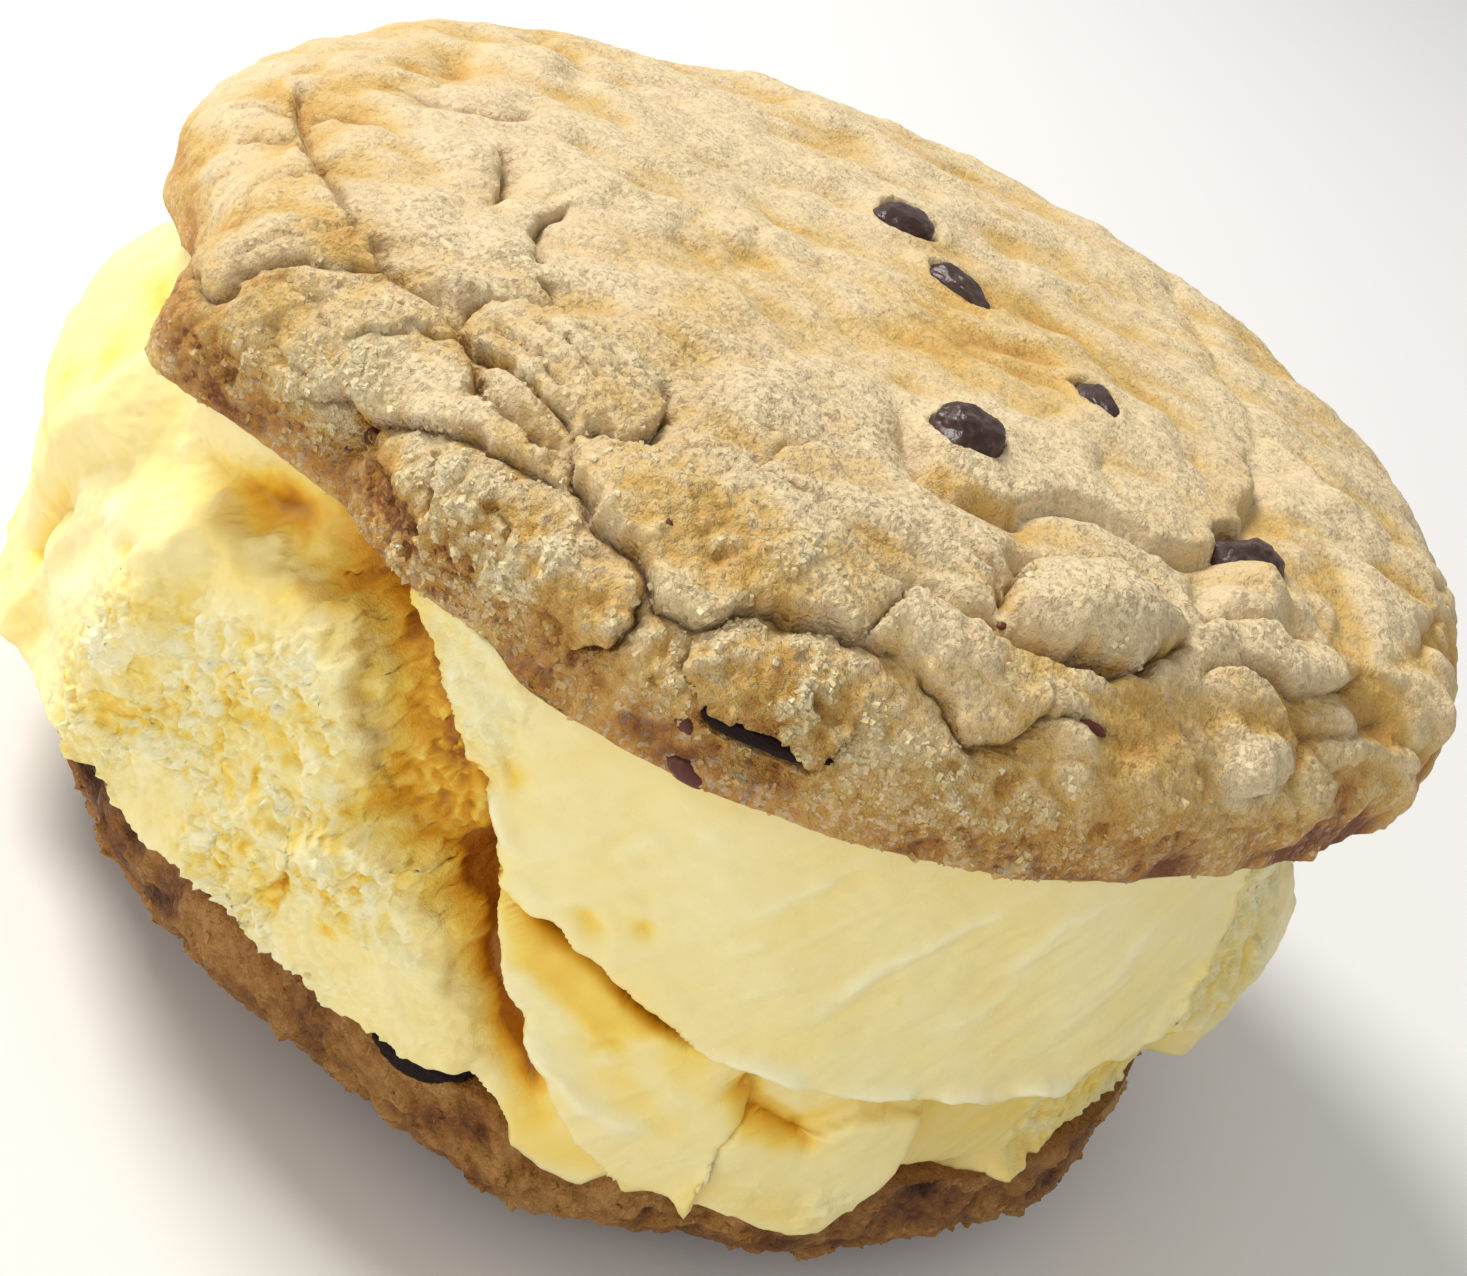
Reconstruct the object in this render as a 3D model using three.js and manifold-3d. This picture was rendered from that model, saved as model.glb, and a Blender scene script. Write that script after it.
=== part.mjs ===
// An ice cream sandwich: two thick chocolate chip cookies around a slab of scooped ice cream.
// It stands on the lower cookie, which lies domed side down with its flat face up.
// Millimetres, +Z up, front towards -Y. The origin is on the ground, at the middle of the
// lower cookie's flat resting spot.

import * as THREE from 'three';
import { mergeVertices } from 'three/addons/utils/BufferGeometryUtils.js';
import Module from 'manifold-3d';

const wasm = await Module();
wasm.setup();

// ---- Driving dimensions ----

const clearance = 0.3;              // gap between two pieces that lie on each other
const fullTurn = 2 * Math.PI;
const goldenShare = 0.618;          // spaces things out without a visible repeat

// A cookie is a flat face, a short upright edge and a dome. Its outline is a circle with broad
// lobes, each [degrees, how far it stands out, spread in degrees].
const lowerCookie = {
  radius: 43,
  thickness: 12,
  edgeHeight: 4,
  roundness: 4.4,
  centre: [0, 0],
  flatSpotDepth: 0.35,              // how much of the dome the resting spot flattens
  lobes: [
    [212, 1.2, 7], [246, -1.6, 20], [306, -0.4, 18], [356, -1.8, 14], [80, -0.8, 30], [130, 0.7, 18],
  ],
  broadWaves: { height: 0.45, length: 5 },
  fineWaves: { height: 0.3, length: 2.7, shift: 30 },
  calmShare: 0.7,                   // the dome's middle stays even up to this share of the radius
  rings: 13,
};

const upperCookie = {
  radius: 45,
  thickness: 13,
  edgeHeight: 2.6,
  roundness: 4.4,
  centre: [1.05, -4.2],
  flatSpotDepth: 0,
  lobes: [
    [48, 1.4, 45], [126, -3.1, 16], [168, 0.8, 22], [208, -2.9, 10], [220, 2.4, 6],
    [239, -3.5, 12], [254, -1.6, 5], [286, -0.4, 43], [319, -1.9, 22],
  ],
  broadWaves: { height: 0.35, length: 6 },
  fineWaves: { height: 0.25, length: 3.1, shift: 40 },
  edgeRelief: 0.4,                  // share of the relief that is left on the upright edge
  rings: 25,
};

// How a cookie is meshed: rings on the upright edge as shares of its height, and on the flat face
// as shares of the radius. The face's rim is drawn in a little, so that the corner is soft.
const ringGrowth = 6;               // points by which a ring outnumbers the one inside it
const edgeRings = [0.5, 0.86];
const faceRings = { rim: 0.985, inner: 0.86, middle: 0.45, middlePoints: 24 };
const curveSteps = 800;

const iceHeight = 31.1;             // free height between the two flat faces
const upperCookieZ = lowerCookie.thickness + iceHeight;

// Relief of the upper cookie, on its dome rolled out flat: X right, Y back, from the middle.
// A crack has a path, a width, a depth and the step by which its left side stands higher. The step
// rises over crackStep.rise on either side of the crack and dies away over crackStep.reach.
const crackStep = { rise: 0.8, reach: 5 };
const cracks = [
  { path: [[-39.1, -6.5], [-38.1, -14.2], [-36, -19], [-27.2, -24.3], [-24.2, -29.6],
    [-19.6, -34.7], [-15.5, -35.5], [-11.7, -36.7]], width: 1.5, depth: 1.7, step: 0.3 },
  { path: [[-23.8, -15.8], [-19.2, -19], [-17.7, -26.5], [-13.8, -28], [-8, -31.4],
    [-7.9, -34.8], [-11.7, -36.5]], width: 1.4, depth: 1.3, step: 0.2 },
  { path: [[-12.2, -37], [-8.1, -35.1], [-1.7, -33.1], [2.7, -34.3], [7.2, -35.5],
    [13.6, -35.8], [18.3, -34.1], [22.5, -30.5]], width: 1.5, depth: 1.5, step: -0.9 },
  { path: [[-11.7, -37], [-10.4, -40.2], [-6.7, -41], [-4.6, -41.8], [-3.4, -43.7], [0.6, -42.1],
    [4.1, -40.4], [8.8, -39.5]], width: 1.5, depth: 1.9, step: 0.7 },
  { path: [[-3.2, -44], [-4.5, -46.3], [-8.6, -47.8]], width: 1.2, depth: 1.2, step: 0.3 },
  { path: [[-8.2, -31.3], [-3.1, -28.4], [0.4, -27.6]], width: 1.6, depth: 0.7, step: 0.3 },
  { path: [[5.9, -22], [10.3, -25.2], [13.7, -27], [18.3, -24.8], [25.3, -17.5]],
    width: 1.8, depth: 1.3, step: 0.5 },
  { path: [[-36, -30.6], [-32.8, -33.4], [-31.2, -31.8], [-27.6, -27.4]], width: 1.5, depth: 1.2, step: 0 },
  { path: [[17, 32], [22, 18], [24.7, 4.5], [26.4, -7.1]], width: 3, depth: 0.6, step: 0 },
];

// A swelling or a dent is [x, y, height, half length, half width, turn in degrees].
const swellings = [
  [-36.5, -22.5, 1.1, 6.5, 4, -60], [-26.9, -33.5, 1.1, 8, 4, -35], [-14, -31.8, 0.8, 6, 3.2, -25],
  [-2, -37.2, 0.9, 9, 3, 5], [3.9, -44.4, 1.3, 4.6, 3.2, 0], [17.5, -29.5, 1.4, 5.5, 3.6, 10],
  [13, -38, 0.8, 9, 2.6, 0], [28.5, -18.5, 1, 3.8, 3, 30], [12, 0, 0.8, 21, 15, 0],
  [41, -8, 0.7, 5, 18, 0], [36, 20, 0.5, 5, 14, 30], [-20, 34, 0.7, 12, 6, 30],
];
const dents = [
  [-32.1, 5.2, 1.1, 2.4, 2, 0], [-25.8, 10.7, 1, 2.2, 2, 0], [-22.8, 13.6, 0.9, 2.6, 2, 0],
  [-38.2, -11.1, 1, 2, 2, 0], [-25.2, -12.6, 1, 2.6, 2, 70], [-27.5, -4.1, 0.8, 2.4, 2, 0],
  [-26.4, -40.4, 1.6, 1.8, 1.6, 0], [13.7, -27.8, 1.2, 2, 1.4, 0], [-4.6, -50.2, 1.2, 1.6, 2.6, 0],
  [5.2, -49.6, 1.1, 4.4, 1.5, 4],
];

// Chocolate chips: place on the rolled-out dome, length, width, height, turn in degrees and sink,
// how deep the middle of the chip lies under the crust.
const chipsOnTop = [
  { at: [-1.3, 9.9], size: [5.2, 4.2, 3.6], turn: 70, sink: 0.6 },
  { at: [3.8, 2.5], size: [4.8, 2.6, 2.8], turn: -20, sink: 0.7 },
  { at: [8, -19.4], size: [5.2, 4.6, 4], turn: 25, sink: 0.4 },
  { at: [14.9, -6.4], size: [4.6, 2.6, 2.8], turn: -60, sink: 0.7 },
  { at: [25.6, -21], size: [5, 3.6, 3], turn: 30, sink: 1 },
  { at: [5.2, -48], size: [7.4, 3, 3.6], turn: 4, sink: 1.3 },
  { at: [-15, 44.6], size: [5.4, 4.4, 4], turn: 15, sink: 1.2 },
  { at: [33.4, 33.4], size: [5, 4, 3.6], turn: -40, sink: 1.2 },
];
// The same in the lower cookie's upright edge: [degrees, height above ground].
const chipsInEdge = [
  { at: [265, 10.4], size: [6, 2.6, 3.2], sink: 0.5 },
  { at: [72, 8.4], size: [6, 4.4, 3.6], sink: 1.3 },
];
// A chip is a pebble, a little fuller at one end. Thicker chips than fineFrom get the finer mesh.
const pebble = { fullerEnd: 0.12, dents: 0.06, dentWaves: 3, fineFrom: 3, fineDetail: 2, detail: 1 };

// The ice cream's side, rolled out flat: U to the right from the middle of the front, then height.
const ice = {
  radius: 44,
  lowRadius: 41.5,
  lowBlend: 4.5,
  underEdge: 1.2,                   // how far inside the upper cookie's edge its top stays
  shoulder: 9,                      // how far below the upper cookie the side starts to round in
  waves: { height: 0.35, length: 5 },
  frontFrom: -158,                  // degrees
  frontTo: -28,
  columnsFront: 64,
  columnsBack: 26,
  rows: 17,
};
// Folds of the scoop: an outline, how far the inside stands out and how soft its edge is.
const folds = [
  // the smooth scoop
  { stand: 1.9, soft: 1.8, outline: [[-7.7, 39.2], [-6.7, 34.2], [-4.3, 30.7],
    [-0.3, 29.1], [5.7, 26.2], [9.9, 24.8], [14.9, 24.4], [25.7, 25.4], [33.5, 25], [40, 22.5],
    [47, 19.5], [60, 22], [60, 48], [-9, 48]] },
  // the blade
  { stand: 1.2, soft: 1.6, outline: [[-4.8, 31.5], [-1.9, 25.9], [0.7, 21.3], [3.3, 17.6],
    [6.9, 14], [14, 14], [14.5, 21.2], [12.6, 24.5], [9.5, 23.4], [3.5, 26], [-0.6, 28]] },
  // the shaded band
  { stand: -2.2, soft: 1.6, outline: [[-20, 38.5], [-16, 35.4], [-14.3, 31], [-12.8, 29.8],
    [-9.3, 28], [-7, 27.1], [-5.4, 25], [-4.5, 30], [-6.5, 34], [-9.2, 37], [-12, 44], [-19, 44]] },
  // the frosty band
  { stand: 1.2, soft: 1.6, outline: [[-35, 27], [-28.6, 32], [-24.9, 33.4], [-20.2, 37],
    [-17.8, 35.4], [-15.9, 35], [-14.3, 30.9], [-11.2, 28.1], [-7.3, 27.1], [-10, 25.5],
    [-15, 22.5], [-18, 16], [-31, 14], [-35, 20]] },
  // the low lobe
  { stand: 1.4, soft: 1.8, outline: [[-15.6, 22.3], [-13.5, 26], [-9.8, 26.8], [-7, 27],
    [-4.4, 24.2], [-4.5, 22.5], [-3.6, 20.2], [-1.1, 17.8], [-2, 14], [-9.4, 14], [-15, 16]] },
  // the melting lobe
  { stand: 2.4, soft: 2.4, outline: [[-29.2, 36.9], [-33, 36], [-46, 25], [-50, 12],
    [-41, 10], [-33, 12], [-31, 16.2], [-30.7, 21.5], [-28, 28.3]] },
  // the hollow
  { stand: -4.2, soft: 1.6, outline: [[-34, 37], [-28.6, 40.1], [-24, 47], [-13, 47],
    [-15.7, 37.8], [-21.8, 37.3], [-28.6, 36.3]] },
  // the left bulge
  { stand: 5, soft: 7, outline: [[-52, 33], [-58, 38], [-76, 35], [-88, 29], [-82, 17],
    [-62, 15], [-53, 21]] },
  // the drip
  { stand: 1.5, soft: 1.6, outline: [[12, 14], [15, 17.5], [18, 12], [20, 8], [25, 8], [25, 20],
    [21, 22.5], [15, 22]] },
  // the right drip
  { stand: 1.2, soft: 1.6, outline: [[31, 8], [32, 19], [38, 21], [44, 8]] },
];
// Clefts between the folds: path, width and depth.
const clefts = [
  { path: [[-14.1, 41.6], [-9.2, 36.5], [-5.8, 33.2]], width: 2, depth: 2.6 },
  { path: [[-5.8, 33], [-5.2, 28.1], [-3.4, 25.1], [-0.8, 21.1], [1.4, 17], [3, 13.5]],
    width: 2.3, depth: 4 },
  { path: [[-4, 31], [0, 28.2], [3.9, 26.2], [9.1, 23.6]], width: 1.7, depth: 2.2 },
  { path: [[14.3, 24], [14.6, 20], [17.5, 15.5]], width: 1.6, depth: 1.3 },
  { path: [[25.6, 23.5], [26.4, 17], [29, 11]], width: 1.8, depth: 2.2 },
  { path: [[14, 23.2], [26, 23.6], [39, 21]], width: 1.6, depth: 1.1 },
];
// The lower edge wanders in and out: [U, how far, spread].
const lowEdgeLobes = [
  [5, 2.6, 3.2], [21, 2.4, 3.4], [31, -1.7, 3], [39, 1.4, 4], [60, -2.5, 9], [-20, 0.6, 6],
];
// Scoops on the back, spaced by a fixed rule.
const backScoops = { count: 9, start: 66, pitch: 18.4, lowZ: 19, span: 17, stand: 1.9, spread: 7.5 };

const looks = {
  upperCookie: { color: 0xdcc293, roughness: 0.85 },
  lowerCookie: { color: 0x94683f, roughness: 0.85 },
  iceCream: { color: 0xf6e09a, roughness: 0.45 },
  chocolate: { color: 0x2c1a1c, roughness: 0.35 },
};
const mergeDistance = 1e-4;

// ---- Small maths ----

const radians = (degrees) => degrees * Math.PI / 180;
const clamp01 = (value) => Math.min(1, Math.max(0, value));
const smooth = (value) => clamp01(value) ** 2 * (3 - 2 * clamp01(value));
const mix = (a, b, share) => a + (b - a) * share;
const bell = (distance, spread) => Math.exp(-((distance / spread) ** 2));

// Shortest way from one angle to another, in degrees.
function turnBetween(degrees, from) {
  return ((degrees - from + 540) % 360) - 180;
}

// A gentle unevenness made of crossed waves, about -1 to 1. A wave is [share, turns along x and
// along y, start].
const crossedWaves = [[0.5, 1.3, 0.7, 0.4], [0.3, -1.1, 2.1, 1.9], [0.2, 3.2, 2.6, 2.7]];
function wobble(x, y, length) {
  let height = 0;
  for (const [share, alongX, alongY, start] of crossedWaves) {
    height += share * Math.sin((alongX * x + alongY * y) / length + start);
  }
  return height;
}

// Distance from a point to a path, signed: positive to the left of the way it runs.
function distanceToPath(x, y, path) {
  let best = Infinity;
  let side = 1;
  for (let i = 0; i + 1 < path.length; i++) {
    const [x0, y0] = path[i];
    const dx = path[i + 1][0] - x0;
    const dy = path[i + 1][1] - y0;
    const share = clamp01(((x - x0) * dx + (y - y0) * dy) / (dx * dx + dy * dy));
    const distance = Math.hypot(x - x0 - share * dx, y - y0 - share * dy);
    if (distance < best) {
      best = distance;
      side = dx * (y - y0) - dy * (x - x0) >= 0 ? 1 : -1;
    }
  }
  return side * best;
}

// Distance from a point to a closed outline, positive inside it.
function distanceInside(x, y, outline) {
  let inside = false;
  for (let i = 0, j = outline.length - 1; i < outline.length; j = i++) {
    const [xi, yi] = outline[i];
    const [xj, yj] = outline[j];
    if ((yi > y) !== (yj > y) && x < (xj - xi) * (y - yi) / (yj - yi) + xi) inside = !inside;
  }
  const distance = Math.abs(distanceToPath(x, y, [...outline, outline[0]]));
  return inside ? distance : -distance;
}

// ---- Closed meshes made of rings ----

class RingSolid {
  constructor() {
    this.points = [];
    this.faces = [];
    this.lastRing = null;
  }

  // Adds a ring of points and joins it to the ring before it. A ring of one point closes an end.
  // Seen from the start end, the rings turn anticlockwise.
  addRing(ringPoints) {
    const ring = ringPoints.map((point) => this.points.push(point) - 1);
    if (this.lastRing) this.join(this.lastRing, ring);
    this.lastRing = ring;
  }

  join(from, to) {
    const cells = Math.max(from.length, to.length);
    if (from.length === to.length) {
      for (let i = 0; i < cells; i++) {
        const next = (i + 1) % cells;
        this.addQuad(from[i], to[i], to[next], from[next]);
      }
      return;
    }
    let i = 0;
    let j = 0;
    const fromSteps = from.length > 1 ? from.length : 0;
    const toSteps = to.length > 1 ? to.length : 0;
    while (i < fromSteps || j < toSteps) {
      const a = from[i % from.length];
      const b = to[j % to.length];
      if (j >= toSteps || (i < fromSteps && (i + 0.5) / fromSteps <= (j + 0.5) / toSteps)) {
        i++;
        this.faces.push([a, b, from[i % from.length]]);
      } else {
        j++;
        this.faces.push([a, b, to[j % to.length]]);
      }
    }
  }

  // Splits a four-sided cell along its shorter diagonal.
  addQuad(a, b, c, d) {
    if (this.gap(a, c) < this.gap(b, d)) this.faces.push([a, b, c], [a, c, d]);
    else this.faces.push([a, b, d], [b, c, d]);
  }

  gap(i, j) {
    const [p, q] = [this.points[i], this.points[j]];
    return Math.hypot(p[0] - q[0], p[1] - q[1], p[2] - q[2]);
  }

  geometry() {
    const geometry = new THREE.BufferGeometry();
    geometry.setAttribute('position', new THREE.Float32BufferAttribute(this.points.flat(), 3));
    geometry.setIndex(this.faces.flat());
    return geometry;
  }
}

// ---- Solid cuts ----

function toSolid(geometry) {
  const bare = geometry.clone();
  bare.deleteAttribute('normal');
  bare.deleteAttribute('uv');
  const merged = mergeVertices(bare, mergeDistance);
  return new wasm.Manifold(new wasm.Mesh({
    numProp: 3,
    vertProperties: new Float32Array(merged.attributes.position.array),
    triVerts: new Uint32Array(merged.index.array),
  }));
}

function toGeometry(solid) {
  const mesh = solid.getMesh();
  const geometry = new THREE.BufferGeometry();
  geometry.setAttribute('position', new THREE.Float32BufferAttribute(mesh.vertProperties, 3));
  geometry.setIndex(Array.from(mesh.triVerts));
  return geometry;
}

// ---- Cookies ----

function edgeRadius(cookie, angle) {
  const degrees = angle * 180 / Math.PI;
  let radius = cookie.radius;
  for (const [at, amount, spread] of cookie.lobes) {
    radius += amount * bell(turnBetween(degrees, at), spread);
  }
  return radius;
}

// Height of the dome above the flat face, at a share of the radius.
function domeHeight(cookie, share) {
  const rise = Math.sqrt(Math.max(0, 1 - share ** cookie.roundness));
  return cookie.edgeHeight + (cookie.thickness + cookie.flatSpotDepth - cookie.edgeHeight) * rise;
}

// The dome's curve from the middle outwards, as [distance along it, share of the radius, height].
function domeCurve(cookie) {
  const curve = [];
  let along = 0;
  for (let i = 0; i <= curveSteps; i++) {
    const share = 1 - (1 - i / curveSteps) ** 2;
    const height = domeHeight(cookie, share);
    const last = curve[curve.length - 1];
    if (last) along += Math.hypot((share - last[1]) * cookie.radius, height - last[2]);
    curve.push([along, share, height]);
  }
  return curve;
}

// Share of the radius, height and slope at a distance along the dome. Past its end the edge
// goes straight down.
function domeAt(cookie, along) {
  const curve = cookie.curve;
  const end = curve[curve.length - 1];
  if (along >= end[0]) return { share: 1, height: end[2] - (along - end[0]), out: 1, up: 0 };
  let i = 1;
  while (curve[i][0] < along) i++;
  const [a0, s0, h0] = curve[i - 1];
  const [a1, s1, h1] = curve[i];
  const part = (along - a0) / (a1 - a0);
  const run = (s1 - s0) * cookie.radius;
  const length = Math.hypot(run, h1 - h0);
  return {
    share: mix(s0, s1, part),
    height: mix(h0, h1, part),
    out: (h0 - h1) / length,
    up: run / length,
  };
}

function aroundCentre(cookie, angle, radius, height) {
  const [x, y] = cookie.centre;
  return [x + radius * Math.cos(angle), y + radius * Math.sin(angle), height];
}

// A point of the cookie, domed side up, with its flat face at height 0.
function cookiePoint(cookie, angle, along, relief) {
  const dome = domeAt(cookie, along);
  const lift = relief(along * Math.cos(angle), along * Math.sin(angle), dome);
  const radius = edgeRadius(cookie, angle) * dome.share + lift * dome.out;
  const highest = cookie.flatSpotDepth ? cookie.thickness : Infinity;
  const height = Math.min(dome.height + lift * dome.up, highest);
  return aroundCentre(cookie, angle, radius, height);
}

function buildCookie(cookie, relief) {
  cookie.curve = domeCurve(cookie);
  const domeLength = cookie.curve[cookie.curve.length - 1][0];
  const solid = new RingSolid();
  const addRing = (count, place) => {
    solid.addRing(Array.from({ length: count }, (_, i) => place(fullTurn * i / count)));
  };
  for (let ring = 0; ring <= cookie.rings; ring++) {
    const along = domeLength * ring / cookie.rings;
    addRing(Math.max(1, ringGrowth * ring), (angle) => cookiePoint(cookie, angle, along, relief));
  }
  const around = ringGrowth * cookie.rings;
  for (const drop of edgeRings) {
    addRing(around, (angle) => cookiePoint(cookie, angle, domeLength + drop * cookie.edgeHeight, relief));
  }
  const { rim, inner, middle, middlePoints } = faceRings;
  for (const [share, count] of [[rim, around], [inner, around / 2], [middle, middlePoints], [0, 1]]) {
    addRing(count, (angle) => aroundCentre(cookie, angle, edgeRadius(cookie, angle) * share, 0));
  }
  return solid.geometry();
}

function swelling([x, y, height, halfLength, halfWidth, turn], atX, atY) {
  const cos = Math.cos(radians(turn));
  const sin = Math.sin(radians(turn));
  const along = (atX - x) * cos + (atY - y) * sin;
  const across = (atY - y) * cos - (atX - x) * sin;
  return height * bell(along, halfLength) * bell(across, halfWidth);
}

// Broad waves, and finer ones that run across them.
function unevenness({ broadWaves, fineWaves }, x, y) {
  return broadWaves.height * wobble(x, y, broadWaves.length)
    + fineWaves.height * wobble(y + fineWaves.shift, x, fineWaves.length);
}

function upperRelief(x, y, dome) {
  let lift = unevenness(upperCookie, x, y);
  for (const item of swellings) lift += swelling(item, x, y);
  for (const item of dents) lift -= swelling(item, x, y);
  for (const { path, width, depth, step } of cracks) {
    const distance = distanceToPath(x, y, path);
    lift -= depth * bell(distance, width);
    const higherSide = 0.5 * (1 + Math.tanh(distance / crackStep.rise));
    lift += step * higherSide * Math.exp(-Math.abs(distance) / crackStep.reach);
  }
  return dome.share < 1 ? lift : lift * upperCookie.edgeRelief;
}

function lowerRelief(x, y, dome) {
  return dome.share < lowerCookie.calmShare ? 0 : unevenness(lowerCookie, x, y);
}

// ---- Chips ----

function chipGeometry(size, extra, detail) {
  const geometry = new THREE.IcosahedronGeometry(1, detail);
  const positions = geometry.attributes.position;
  const point = new THREE.Vector3();
  for (let i = 0; i < positions.count; i++) {
    point.fromBufferAttribute(positions, i);
    const dent = pebble.dents * Math.sin(pebble.dentWaves * point.y + size[0]);
    const full = 1 + pebble.fullerEnd * point.x + dent;
    point.set(
      point.x * (size[0] / 2 * full + extra),
      point.y * (size[1] / 2 * full + extra),
      point.z * (size[2] / 2 * full + extra),
    );
    positions.setXYZ(i, point.x, point.y, point.z);
  }
  return geometry;
}

// Stands a chip on a surface point, its own Z along the outward direction.
function chipPlacement(point, outward, turn, sink) {
  const spin = new THREE.Quaternion().setFromAxisAngle(new THREE.Vector3(0, 0, 1), radians(turn));
  const tilt = new THREE.Quaternion().setFromUnitVectors(new THREE.Vector3(0, 0, 1), outward);
  const position = new THREE.Vector3(...point).addScaledVector(outward, -sink);
  return new THREE.Matrix4().compose(position, tilt.multiply(spin), new THREE.Vector3(1, 1, 1));
}

function topChipPlacement(chip) {
  const angle = Math.atan2(chip.at[1], chip.at[0]);
  const along = Math.hypot(...chip.at);
  const dome = domeAt(upperCookie, along);
  const point = cookiePoint(upperCookie, angle, along, upperRelief);
  point[2] += upperCookieZ;
  const outward = new THREE.Vector3(dome.out * Math.cos(angle), dome.out * Math.sin(angle), dome.up);
  return chipPlacement(point, outward.normalize(), chip.turn, chip.sink);
}

function edgeChipPlacement(chip) {
  const angle = radians(chip.at[0]);
  const radius = edgeRadius(lowerCookie, angle);
  const outward = new THREE.Vector3(Math.cos(angle), Math.sin(angle), 0);
  const point = [radius * outward.x, radius * outward.y, chip.at[1]];
  return chipPlacement(point, outward, 0, chip.sink);
}

// ---- Ice cream ----

function lowEdgeRadius(u) {
  let radius = ice.lowRadius;
  for (const [at, amount, spread] of lowEdgeLobes) radius += amount * bell(u - at, spread);
  return radius;
}

// How far the upper cookie covers the ice cream, measured from the upright axis.
function coverRadius(angle) {
  const [x, y] = upperCookie.centre;
  return edgeRadius(upperCookie, angle) + x * Math.cos(angle) + y * Math.sin(angle) - ice.underEdge;
}

function backScoopLift(u, z) {
  let lift = 0;
  for (let i = 0; i < backScoops.count; i++) {
    const at = backScoops.start + i * backScoops.pitch;
    const height = backScoops.lowZ + backScoops.span * ((i * goldenShare) % 1);
    const away = Math.min(Math.abs(u - at), Math.abs(u + fullTurn * ice.radius - at));
    const share = bell(away, backScoops.spread) * bell(z - height, backScoops.spread);
    lift = Math.max(lift, backScoops.stand * share);
  }
  return lift;
}

function iceRadius(angle, z) {
  const u = ice.radius * (angle + Math.PI / 2);
  let radius = ice.radius + ice.waves.height * wobble(u, z, ice.waves.length) + backScoopLift(u, z);
  for (const { outline, stand, soft } of folds) {
    radius += stand * smooth(0.5 + distanceInside(u, z, outline) / (2 * soft));
  }
  for (const { path, width, depth } of clefts) {
    radius -= depth * bell(distanceToPath(u, z, path), width);
  }
  const low = lowerCookie.thickness;
  radius = mix(lowEdgeRadius(u), radius, smooth((z - low) / ice.lowBlend));
  return Math.min(radius, coverRadius(angle) + ice.shoulder * smooth((upperCookieZ - z) / ice.shoulder));
}

// Angles around the ice cream from the back seam, close together on the front.
function iceAngles() {
  const spread = (from, to, columns) => Array.from({ length: columns }, (_, i) => mix(from, to, i / columns));
  const [from, to] = [radians(ice.frontFrom), radians(ice.frontTo)];
  return [...spread(from, to, ice.columnsFront), ...spread(to, from + fullTurn, ice.columnsBack)];
}

function buildIceCream() {
  const low = lowerCookie.thickness + clearance;
  const high = upperCookieZ - clearance;
  const angles = iceAngles();
  const solid = new RingSolid();
  solid.addRing([[0, 0, high]]);
  for (let row = ice.rows; row >= 0; row--) {
    const z = mix(low, high, row / ice.rows);
    solid.addRing(angles.map((angle) => {
      const seam = angle > Math.PI / 2 ? angle - fullTurn : angle;
      const radius = iceRadius(seam, z);
      return [radius * Math.cos(angle), radius * Math.sin(angle), z];
    }));
  }
  solid.addRing([[0, 0, low]]);
  return solid.geometry();
}

// ---- Assembly ----

function material(look) {
  return new THREE.MeshStandardMaterial({ ...look, metalness: 0 });
}

function named(name, geometry, surface) {
  const mesh = new THREE.Mesh(geometry, surface);
  mesh.name = name;
  return mesh;
}

const sandwich = new THREE.Group();
sandwich.name = 'ice_cream_sandwich';
const chocolate = material(looks.chocolate);

// Cuts a pocket for each chip into a cookie's geometry and adds the chips to the sandwich.
function seatChips(cookieGeometry, chips, placement, firstNumber) {
  let solid = toSolid(cookieGeometry);
  chips.forEach((chip, i) => {
    const matrix = placement(chip);
    const detail = Math.min(...chip.size) > pebble.fineFrom ? pebble.fineDetail : pebble.detail;
    solid = solid.subtract(toSolid(chipGeometry(chip.size, clearance, pebble.detail).applyMatrix4(matrix)));
    const geometry = chipGeometry(chip.size, 0, detail).applyMatrix4(matrix);
    sandwich.add(named(`chip_${firstNumber + i}`, geometry, chocolate));
  });
  return toGeometry(solid);
}

const upperBare = buildCookie(upperCookie, upperRelief).translate(0, 0, upperCookieZ);
const upperGeometry = seatChips(upperBare, chipsOnTop, topChipPlacement, 1);
sandwich.add(named('top_cookie', upperGeometry, material(looks.upperCookie)));

sandwich.add(named('ice_cream', buildIceCream(), material(looks.iceCream)));

// The lower cookie is built like the upper one and turned over about the X axis.
const turnedOver = buildCookie(lowerCookie, lowerRelief);
turnedOver.scale(1, 1, -1).translate(0, 0, lowerCookie.thickness);
for (let i = 0; i < turnedOver.index.count; i += 3) {
  const second = turnedOver.index.array[i + 1];
  turnedOver.index.array[i + 1] = turnedOver.index.array[i + 2];
  turnedOver.index.array[i + 2] = second;
}
const lowerGeometry = seatChips(turnedOver, chipsInEdge, edgeChipPlacement, 1 + chipsOnTop.length);
sandwich.add(named('bottom_cookie', lowerGeometry, material(looks.lowerCookie)));

export default sandwich;
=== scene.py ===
import math

import bmesh
import bpy
import numpy as np
from mathutils import Matrix, Vector


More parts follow.
